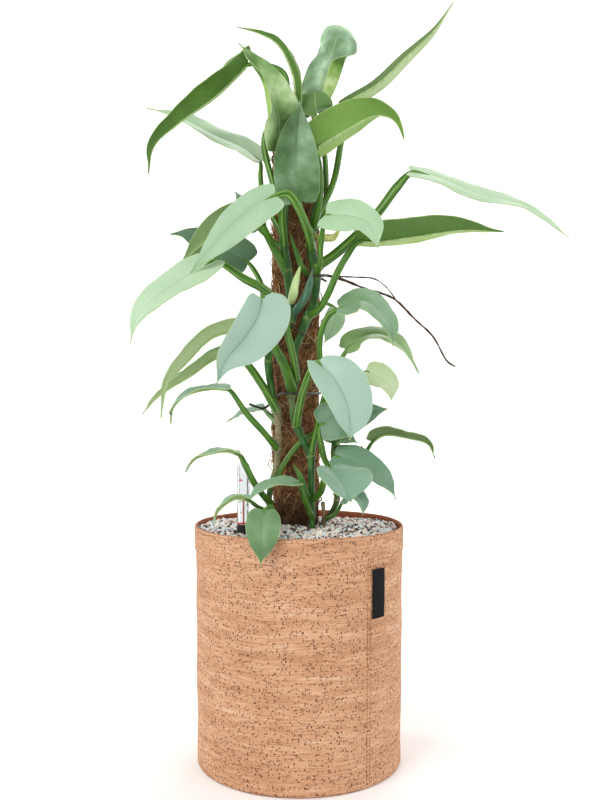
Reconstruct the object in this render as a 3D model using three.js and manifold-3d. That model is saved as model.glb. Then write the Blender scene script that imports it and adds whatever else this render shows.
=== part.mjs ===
// Potted silver queen philodendron on a coir pole, in a fabric planter with mineral granules.
// Millimetres, +Z up, the front of the plant faces -Y. The origin is the centre of the flat base.

import * as THREE from 'three';
import { mergeVertices } from 'three/addons/utils/BufferGeometryUtils.js';
import Module from 'manifold-3d';

const wasm = await Module();
wasm.setup();

// Driving dimensions of the planter
const PLANTER_HEIGHT = 265;
const RIM_RADIUS = 117.5;
const FOOT_RADIUS = 115;
const COVER_WALL = 2.6;
const LINER_WALL = 1.4;
const LINER_BELOW_RIM = 2.5;
const CLEARANCE = 0.35;
const ROUND_SIDES = 40;

// Driving dimensions of the granules
const BED_EDGE = 262;
const BED_CROWN = 266;
const BED_BACK_DROP = 9;
const GRANULE_SIZE = 8;
const GRANULE_RELIEF = 2.2;

// Driving dimensions of the pole and its core
const POLE_X = -4;
const POLE_RADIUS = 25.5;
const POLE_FOOT = 4.7;
const POLE_TOP = 712;
const CORE_RADIUS = 11;
const CORE_FOOT = 4.7;

// Driving dimensions of the water gauge
const GAUGE_X = -60;
const GAUGE_Y = -58;
const SLEEVE_RADIUS = 7.3;
const SLEEVE_BORE = 5.7;
const SLEEVE_FOOT = 30;
const SLEEVE_TOP = 272;
const TUBE_RADIUS = 6.9;
const TUBE_SPIGOT = 5.3;
const TUBE_BORE = 4.2;
const TUBE_TOP = 340;
const NEEDLE_RADIUS = 1;
const NEEDLE_TOP = 303;
const FLOAT_RADIUS = 5.35;
const FLOAT_FOOT = 110;
const FLOAT_TOP = 158;

// Driving dimensions of the leaves
const BLADE_THICKNESS = 0.9;
const BLADE_COLUMNS = 4;
const STALK_SIDES = 5;
const STALK_STEPS = 6;

// Places on the plant are read in a level view from the front: how far across and how high a
// point stands on the plane through the pole, and how much nearer than that plane it lies.
const EYE_BACK = 1100;
const EYE_UP = 425;

function seen([across, up, nearer]) {
  const shrink = (EYE_BACK - nearer) / EYE_BACK;
  return new THREE.Vector3(across * shrink, -nearer, EYE_UP + (up - EYE_UP) * shrink);
}

// A direction is written the same way: right, up, towards the viewer.
function facing([right, up, nearer]) {
  return new THREE.Vector3(right, -nearer, up).normalize();
}

// Materials

function material(hex, roughness, metalness = 0) {
  return new THREE.MeshStandardMaterial({ color: hex, roughness, metalness });
}

const corkFabric = material(0xd9a77f, 0.85);
const linerPlastic = material(0x6f7173, 0.5);
const mineral = material(0xcfc6bb, 0.95);
const coir = material(0x6b4329, 1);
const coreWood = material(0xb58a62, 0.8);
const vineBark = material(0x4d7a45, 0.6);
const paleLeaf = material(0xb7d6b5, 0.45);
const bluishLeaf = material(0xa4c4b6, 0.45);
const darkLeaf = material(0x6f9080, 0.45);
const greenLeaf = material(0x6f9f52, 0.5);
const youngLeaf = material(0xc3dd98, 0.5);
const sheathSkin = material(0xc8cc74, 0.7);
const rootBark = material(0x3a2a22, 0.9);
const tieWire = material(0x33382f, 0.6);
const blackPlastic = material(0x17181a, 0.35);
const clearPlastic = material(0xe6eef0, 0.1);
const redPlastic = material(0xc9302c, 0.4);
const wovenLabel = material(0x1f1f21, 0.9);

// Solids from geometry and back

function solidOf(geometry) {
  const bare = geometry.index ? geometry.clone() : geometry;
  bare.deleteAttribute('normal');
  bare.deleteAttribute('uv');
  const merged = mergeVertices(bare, 1e-4);
  const mesh = new wasm.Mesh({
    numProp: 3,
    vertProperties: new Float32Array(merged.attributes.position.array),
    triVerts: new Uint32Array(merged.index.array),
  });
  return new wasm.Manifold(mesh);
}

function geometryOf(solid) {
  const mesh = solid.getMesh();
  const geometry = new THREE.BufferGeometry();
  geometry.setAttribute('position', new THREE.BufferAttribute(mesh.vertProperties, 3));
  geometry.setIndex(new THREE.BufferAttribute(mesh.triVerts, 1));
  geometry.computeVertexNormals();
  return geometry;
}

function largestBody(solid) {
  const bodies = solid.decompose();
  return bodies.reduce((best, body) => (body.volume() > best.volume() ? body : best));
}

const plant = new THREE.Group();

function addPiece(name, solid, look) {
  const mesh = new THREE.Mesh(geometryOf(solid), look);
  mesh.name = name;
  plant.add(mesh);
}

// A smooth field of lumps, about one lump to each size

function lump(x, y, size) {
  const wave = Math.sin((x * 1.7 + y * 0.6) / size) * Math.cos((y * 1.9 - x * 0.5) / size);
  return wave + 0.5 * Math.sin((x * 3.1 - y * 2.3) / size + 1.3);
}

// Round shapes

function lathe(profile, x = 0, y = 0, sides = ROUND_SIDES) {
  const points = profile.map(([radius, height]) => new THREE.Vector2(radius, height));
  const geometry = new THREE.LatheGeometry(points, sides);
  geometry.rotateX(Math.PI / 2);
  geometry.translate(x, y, 0);
  return solidOf(geometry);
}

// A closed round bar bent along a smooth curve. Every point gives its own radius.
function bar(points, radii, { sides = STALK_SIDES, steps = STALK_STEPS, grow = 0 } = {}) {
  const curve = new THREE.CatmullRomCurve3(points, false, 'centripetal');
  const frames = curve.computeFrenetFrames(steps, false);
  const geometry = new THREE.CylinderGeometry(1, 1, 1, sides, steps);
  const position = geometry.attributes.position;
  for (let i = 0; i < position.count; i += 1) {
    const along = 0.5 - position.getY(i);
    const step = Math.round(along * steps);
    const radius = radiusAt(curve, radii, step / steps) + grow;
    const place = curve.getPointAt(step / steps);
    place.addScaledVector(frames.normals[step], position.getZ(i) * radius);
    place.addScaledVector(frames.binormals[step], position.getX(i) * radius);
    position.setXYZ(i, place.x, place.y, place.z);
  }
  const solid = solidOf(geometry);
  return solid.volume() > 0 ? solid : solidOf(turnedOut(geometry));
}

function turnedOut(geometry) {
  const index = geometry.index.array;
  for (let i = 0; i < index.length; i += 3) {
    [index[i], index[i + 1]] = [index[i + 1], index[i]];
  }
  return geometry;
}

function radiusAt(curve, radii, along) {
  const t = curve.getUtoTmapping(along) * (radii.length - 1);
  const low = Math.min(Math.floor(t), radii.length - 2);
  return radii[low] + (radii[low + 1] - radii[low]) * (t - low);
}

// Planter: the sewn cover and the waterproof liner in it

const COVER_INNER_RIM = RIM_RADIUS - COVER_WALL;
const COVER_INNER_FOOT = FOOT_RADIUS - COVER_WALL;
const LINER_TOP = PLANTER_HEIGHT - LINER_BELOW_RIM;
const LINER_FOOT = COVER_WALL + CLEARANCE;

addPiece('planter_cover', lathe([
  [0, 0],
  [FOOT_RADIUS - 2, 0],
  [FOOT_RADIUS, 2],
  [RIM_RADIUS, PLANTER_HEIGHT - 1],
  [RIM_RADIUS - 0.8, PLANTER_HEIGHT],
  [COVER_INNER_RIM + 0.8, PLANTER_HEIGHT],
  [COVER_INNER_RIM, PLANTER_HEIGHT - 1],
  [COVER_INNER_FOOT, COVER_WALL],
  [0, COVER_WALL],
]), corkFabric);

addPiece('inner_liner', lathe([
  [0, LINER_FOOT],
  [COVER_INNER_FOOT - CLEARANCE, LINER_FOOT],
  [COVER_INNER_RIM - CLEARANCE, LINER_TOP],
  [COVER_INNER_RIM - CLEARANCE - LINER_WALL, LINER_TOP],
  [COVER_INNER_FOOT - CLEARANCE - LINER_WALL, LINER_FOOT + LINER_WALL],
  [0, LINER_FOOT + LINER_WALL],
]), linerPlastic);

// Stems: three vines that climb the pole. Each point is [across, up, nearer, radius].

const VINE_LEFT = [
  [-31, 190, 30, 3.2],
  [-32, 262, 33, 3.5],
  [-34, 297, 33, 3.3],
  [-25, 334, 35, 3.3],
  [-24, 350, 36, 4.2],
  [-24, 371, 36, 3.4],
  [-25, 392, 36, 4.4],
  [-30, 411, 35, 3.6],
  [-35, 449, 32, 4.6],
  [-31, 470, 33, 4],
  [-19, 482, 36, 4.2],
  [-9, 494, 38, 5.2],
  [-10, 519, 38, 4.3],
  [-13, 552, 37, 5.4],
  [-17, 580, 36, 4.9],
  [-17, 612, 35, 4.6],
  [-15, 640, 33, 4.2],
];
const VINE_FRONT = [
  [15, 190, 34, 3.2],
  [15, 268, 38, 3.4],
  [14, 294, 40, 4.2],
  [14, 318, 44, 3.6],
  [13, 341, 46, 4.8],
  [5, 359, 46, 4],
  [-3, 376, 44, 4.8],
  [-8, 399, 39, 3.8],
  [-9, 410, 38, 4.8],
  [-3, 434, 38, 4.1],
  [-5, 460, 38, 4.1],
  [2, 479, 38, 4.3],
  [9, 498, 38, 5.2],
  [17, 519, 38, 4.5],
  [19, 545, 37, 5.4],
  [14, 578, 37, 5.2],
  [16, 604, 36, 4.6],
  [22, 636, 33, 4.2],
];
const VINE_RIGHT = [
  [24, 200, 14, 2.6],
  [26, 262, 20, 2.7],
  [37, 277, 28, 2.8],
  [43, 292, 38, 3.5],
  [40, 331, 42, 3],
  [40, 345, 42, 3.8],
  [41, 369, 40, 3],
  [38, 395, 34, 3.4],
  [33, 414, 28, 3],
];
const DRY_SHOOT = [
  [27, 262, 22, 2.2],
  [28, 275, 36, 1.8],
  [27, 288, 44, 2.4],
];

const VINE_SIDES = 8;

function vine(points, grow = 0, steps = Math.round(points.length * 1.3)) {
  const places = points.map(seen);
  const radii = points.map((point) => point[3]);
  return bar(places, radii, { sides: VINE_SIDES, steps, grow });
}

const vines = {
  vine_left: vine(VINE_LEFT),
  vine_front: vine(VINE_FRONT),
  vine_right: vine(VINE_RIGHT).add(vine(DRY_SHOOT, 0, 4)),
};
const vineRoom = vine(VINE_LEFT, CLEARANCE)
  .add(vine(VINE_FRONT, CLEARANCE))
  .add(vine(VINE_RIGHT, CLEARANCE))
  .add(vine(DRY_SHOOT, CLEARANCE, 4));

for (const [name, solid] of Object.entries(vines)) {
  addPiece(name, solid, vineBark);
}

// Pole: a ragged coir sleeve on a straight wooden core

const POLE_SIDES = 12;
const POLE_STEPS = 14;
const POLE_RAGGED = 0.7;

function coirSleeve() {
  const height = POLE_TOP - POLE_FOOT;
  const geometry = new THREE.CylinderGeometry(1, 1, height, POLE_SIDES, POLE_STEPS);
  const position = geometry.attributes.position;
  for (let i = 0; i < position.count; i += 1) {
    const x = position.getX(i);
    const z = position.getY(i);
    const y = -position.getZ(i);
    const turn = Math.atan2(y, x);
    const ragged = POLE_RAGGED * lump(turn * 40, z, 9);
    const radius = Math.hypot(x, y) < 0.5 ? 0 : POLE_RADIUS - 0.5 + 0.5 * ragged;
    position.setXYZ(i, POLE_X + radius * Math.cos(turn), radius * Math.sin(turn), z + POLE_FOOT + height / 2);
  }
  return solidOf(geometry);
}

function upright(x, y, radius, foot, top, sides = 24) {
  return lathe([[0, foot], [radius, foot], [radius, top], [0, top]], x, y, sides);
}

addPiece('coir_pole', coirSleeve().subtract(
  upright(POLE_X, 0, CORE_RADIUS + CLEARANCE, POLE_FOOT - 5, POLE_TOP + 5, 16),
), coir);
addPiece('pole_core', upright(POLE_X, 0, CORE_RADIUS, CORE_FOOT, POLE_TOP - 6, 16), coreWood);

// Granules: a lumpy bed with plain holes for all that stands in it

const BED_RADIUS = COVER_INNER_RIM - CLEARANCE * 2 - LINER_WALL;
const BED_FOOT_RADIUS = COVER_INNER_FOOT - CLEARANCE * 2 - LINER_WALL;
const BED_FOOT = LINER_FOOT + LINER_WALL + CLEARANCE;
const BED_RINGS = 10;

function bedHeight(radius) {
  return BED_CROWN + (BED_EDGE - BED_CROWN) * (radius / BED_RADIUS) ** 2;
}

// The granules lie lower along the back than along the front.
function backDrop(x, y) {
  return y > 0 ? BED_BACK_DROP * (y / BED_RADIUS) ** 2 : 0;
}

function granuleBed() {
  const profile = [new THREE.Vector2(0, BED_FOOT), new THREE.Vector2(BED_FOOT_RADIUS, BED_FOOT)];
  for (let ring = BED_RINGS; ring >= 0; ring -= 1) {
    const radius = (BED_RADIUS * ring) / BED_RINGS;
    profile.push(new THREE.Vector2(radius, bedHeight(radius)));
  }
  const geometry = new THREE.LatheGeometry(profile, ROUND_SIDES);
  geometry.rotateX(Math.PI / 2);
  const position = geometry.attributes.position;
  for (let i = 0; i < position.count; i += 1) {
    const x = position.getX(i);
    const y = position.getY(i);
    const z = position.getZ(i);
    const onTop = z > BED_EDGE - 10;
    const inside = onTop && Math.hypot(x, y) < BED_RADIUS * 0.99;
    const rise = inside ? GRANULE_RELIEF * lump(x, y, GRANULE_SIZE / 2.5) * 0.5 : 0;
    position.setZ(i, z + rise - (onTop ? backDrop(x, y) : 0));
  }
  return solidOf(geometry);
}

addPiece('granules', largestBody(granuleBed()
  .subtract(vineRoom)
  .subtract(upright(POLE_X, 0, POLE_RADIUS + CLEARANCE, BED_FOOT - 5, BED_CROWN + 20))
  .subtract(upright(GAUGE_X, GAUGE_Y, SLEEVE_RADIUS + CLEARANCE, SLEEVE_FOOT, BED_CROWN + 20, 16))),
mineral);

// Water gauge: a black sleeve in the bed, a clear domed tube and the red float in them

const GAUGE_SIDES = 12;
const SPIGOT_FOOT = SLEEVE_TOP - 12;
const DOME_ROUND = 4;

addPiece('gauge_sleeve', lathe([
  [0, SLEEVE_FOOT],
  [SLEEVE_RADIUS, SLEEVE_FOOT],
  [SLEEVE_RADIUS, SLEEVE_TOP],
  [SLEEVE_BORE, SLEEVE_TOP],
  [SLEEVE_BORE, SLEEVE_FOOT + 2],
  [0, SLEEVE_FOOT + 2],
], GAUGE_X, GAUGE_Y, GAUGE_SIDES), blackPlastic);

addPiece('gauge_tube', lathe([
  [TUBE_BORE, SPIGOT_FOOT],
  [TUBE_SPIGOT, SPIGOT_FOOT],
  [TUBE_SPIGOT, SLEEVE_TOP + CLEARANCE],
  [TUBE_RADIUS, SLEEVE_TOP + CLEARANCE],
  [TUBE_RADIUS, TUBE_TOP - DOME_ROUND],
  [TUBE_RADIUS - 1.6, TUBE_TOP - 1.2],
  [TUBE_RADIUS - 4, TUBE_TOP],
  [0, TUBE_TOP],
  [0, TUBE_TOP - 1.6],
  [TUBE_BORE - 1, TUBE_TOP - 2],
  [TUBE_BORE, TUBE_TOP - DOME_ROUND],
  [TUBE_BORE, SPIGOT_FOOT],
], GAUGE_X, GAUGE_Y, GAUGE_SIDES), clearPlastic);

addPiece('gauge_float', lathe([
  [0, FLOAT_FOOT],
  [FLOAT_RADIUS, FLOAT_FOOT],
  [FLOAT_RADIUS, FLOAT_TOP],
  [NEEDLE_RADIUS, FLOAT_TOP + 3],
  [NEEDLE_RADIUS, NEEDLE_TOP],
  [0, NEEDLE_TOP],
], GAUGE_X, GAUGE_Y, 12), redPlastic);

// Label: a bare woven strip sewn to the cover beside its seam

const LABEL_WIDTH = 19;
const LABEL_FOOT = 177;
const LABEL_TOP = 229;
const LABEL_THICKNESS = 0.9;
const LABEL_TURN = THREE.MathUtils.degToRad(45.4);

function coverRadius(z) {
  return FOOT_RADIUS + ((RIM_RADIUS - FOOT_RADIUS) * (z - 2)) / (PLANTER_HEIGHT - 3);
}

function label() {
  const geometry = new THREE.BoxGeometry(LABEL_WIDTH, LABEL_THICKNESS, LABEL_TOP - LABEL_FOOT, 5, 1, 1);
  const position = geometry.attributes.position;
  for (let i = 0; i < position.count; i += 1) {
    const z = position.getZ(i) + (LABEL_TOP + LABEL_FOOT) / 2;
    const radius = coverRadius(z) + CLEARANCE + LABEL_THICKNESS / 2 - position.getY(i);
    const turn = LABEL_TURN + position.getX(i) / RIM_RADIUS;
    position.setXYZ(i, radius * Math.sin(turn), -radius * Math.cos(turn), z);
  }
  return solidOf(geometry);
}

addPiece('label_tag', label(), wovenLabel);

// Leaves. Each row of a blade follows a side vein: where it leaves the rib, and where it meets the
// edge along and aside, first for a rounded base and then for a heart-shaped one.

const BLADE_ROWS = [
  [0.0, 0.0, 0.24, -0.07, 0.42],
  [0.04, -0.01, 0.58, -0.07, 0.74],
  [0.1, 0.045, 0.84, 0.03, 0.93],
  [0.2, 0.17, 0.99, 0.17, 1.0],
  [0.34, 0.34, 1.0, 0.34, 0.99],
  [0.5, 0.53, 0.84, 0.53, 0.84],
  [0.66, 0.715, 0.55, 0.715, 0.55],
  [0.82, 0.875, 0.19, 0.875, 0.19],
  [1.0, 1.0, 0.0, 1.0, 0.0],
];

function rowValue(column, start) {
  const after = Math.max(BLADE_ROWS.findIndex((row) => row[0] >= start), 1);
  const low = BLADE_ROWS[after - 1];
  const high = BLADE_ROWS[after];
  return low[column] + ((high[column] - low[column]) * (start - low[0])) / (high[0] - low[0]);
}

// A pair of half widths is left and right of the rib.
function halfOf(leaf, aside) {
  return Array.isArray(leaf.half) ? leaf.half[aside < 0 ? 0 : 1] : leaf.half;
}

function ribPlace(curve, length, along) {
  if (along >= 0) {
    return curve.getPointAt(Math.min(along, 1));
  }
  return curve.getPointAt(0).addScaledVector(curve.getTangentAt(0), along * length);
}

function bladeNormal(curve, leaf, along) {
  const t = Math.min(Math.max(along, 0), 1);
  const normal = facing(leaf.face).lerp(facing(leaf.tipFace ?? leaf.face), t);
  const tangent = curve.getTangentAt(t);
  normal.addScaledVector(tangent, -normal.dot(tangent)).normalize();
  return { normal, side: tangent.clone().cross(normal) };
}

function bladePoint(curve, length, leaf, start, aside) {
  const reach = Math.abs(aside);
  const half = halfOf(leaf, aside);
  const heart = leaf.heart ?? 0.3;
  const edgeAlong = (1 - heart) * rowValue(1, start) + heart * rowValue(3, start);
  const broad = start ** (leaf.blunt ?? 1);
  const edgeAside = (1 - heart) * rowValue(2, broad) + heart * rowValue(4, broad);
  const slanted = (leaf.slant ?? 0) * aside * (1 - start);
  const along = start + (edgeAlong - start) * reach + slanted;
  const { normal, side } = bladeNormal(curve, leaf, along);
  const fold = THREE.MathUtils.degToRad(leaf.fold ?? 15);
  const out = edgeAside * half * reach;
  const wave = (leaf.wave ?? 1) * Math.sin(along * 13 + aside * 2 + half) * reach * reach;
  const curl = 0.1 * half * (out / half) ** 2;
  const place = ribPlace(curve, length, along);
  place.addScaledVector(side, Math.sign(aside) * out * Math.cos(fold));
  place.addScaledVector(normal, out * Math.sin(fold) + wave - curl);
  return place;
}

// The middle surface of a blade as rows of points from its base to just before its tip.
function bladeGrid(leaf, curve) {
  const length = curve.getLength();
  return BLADE_ROWS.slice(0, -1).map(([start]) => {
    const row = [];
    for (let column = 0; column <= BLADE_COLUMNS; column += 1) {
      const aside = (2 * column) / BLADE_COLUMNS - 1;
      row.push(bladePoint(curve, length, leaf, start, aside));
    }
    return row;
  });
}

// A blade of even thickness round that surface. Both faces are split into triangles alike.
function bladeSolid(leaf, curve) {
  const grid = bladeGrid(leaf, curve);
  const columns = BLADE_COLUMNS + 1;
  const middle = grid.flat();
  middle.push(curve.getPointAt(1));
  const tip = middle.length - 1;
  const faces = [];
  const last = grid.length - 1;
  for (let row = 0; row < last; row += 1) {
    for (let column = 0; column < BLADE_COLUMNS; column += 1) {
      const a = row * columns + column;
      const c = a + columns;
      if (column < BLADE_COLUMNS / 2) {
        faces.push([a, a + 1, c], [a + 1, c + 1, c]);
      } else {
        faces.push([a, a + 1, c + 1], [a, c + 1, c]);
      }
    }
  }
  for (let column = 0; column < BLADE_COLUMNS; column += 1) {
    const a = last * columns + column;
    faces.push([a, a + 1, tip]);
  }
  const rim = [];
  for (let column = 0; column < BLADE_COLUMNS; column += 1) {
    rim.push(column);
  }
  for (let row = 0; row <= last; row += 1) {
    rim.push(row * columns + BLADE_COLUMNS);
  }
  rim.push(tip);
  for (let row = last; row > 0; row -= 1) {
    rim.push(row * columns);
  }
  return thickened(middle, faces, rim, BLADE_THICKNESS);
}

function thickened(middle, faces, rim, thickness) {
  const normals = middle.map(() => new THREE.Vector3());
  for (const [a, b, c] of faces) {
    const ab = middle[b].clone().sub(middle[a]);
    const ac = middle[c].clone().sub(middle[a]);
    const normal = ab.cross(ac).normalize();
    normals[a].add(normal);
    normals[b].add(normal);
    normals[c].add(normal);
  }
  const places = [];
  for (const lift of [thickness / 2, -thickness / 2]) {
    middle.forEach((point, i) => {
      const place = point.clone().addScaledVector(normals[i].clone().normalize(), lift);
      places.push(place.x, place.y, place.z);
    });
  }
  const under = middle.length;
  const index = [];
  for (const [a, b, c] of faces) {
    index.push(a, b, c, under + a, under + c, under + b);
  }
  rim.forEach((p, i) => {
    const q = rim[(i + 1) % rim.length];
    index.push(q, p, under + p, q, under + p, under + q);
  });
  const geometry = new THREE.BufferGeometry();
  geometry.setAttribute('position', new THREE.Float32BufferAttribute(places, 3));
  geometry.setIndex(index);
  return solidOf(geometry);
}

// The stalk runs from inside its vine to under the base of the blade and a little along the rib.
function stalkSolid(leaf, curve) {
  const places = leaf.stalk.map(seen);
  const { normal } = bladeNormal(curve, leaf, 0);
  places.push(ribPlace(curve, curve.getLength(), 0).addScaledVector(normal, -1));
  places.push(ribPlace(curve, curve.getLength(), 0.1).addScaledVector(normal, -0.6));
  const thick = leaf.thick ?? 3.8;
  const count = places.length;
  const radii = places.map(() => thick);
  radii[count - 2] = Math.min(thick * 0.75, 3);
  radii[count - 1] = 1.2;
  return bar(places, radii);
}

function leafSolid(leaf) {
  const curve = new THREE.CatmullRomCurve3(leaf.rib.map(seen), false, 'centripetal');
  const whole = bladeSolid(leaf, curve).add(stalkSolid(leaf, curve));
  return largestBody(whole.subtract(vineRoom));
}

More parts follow.
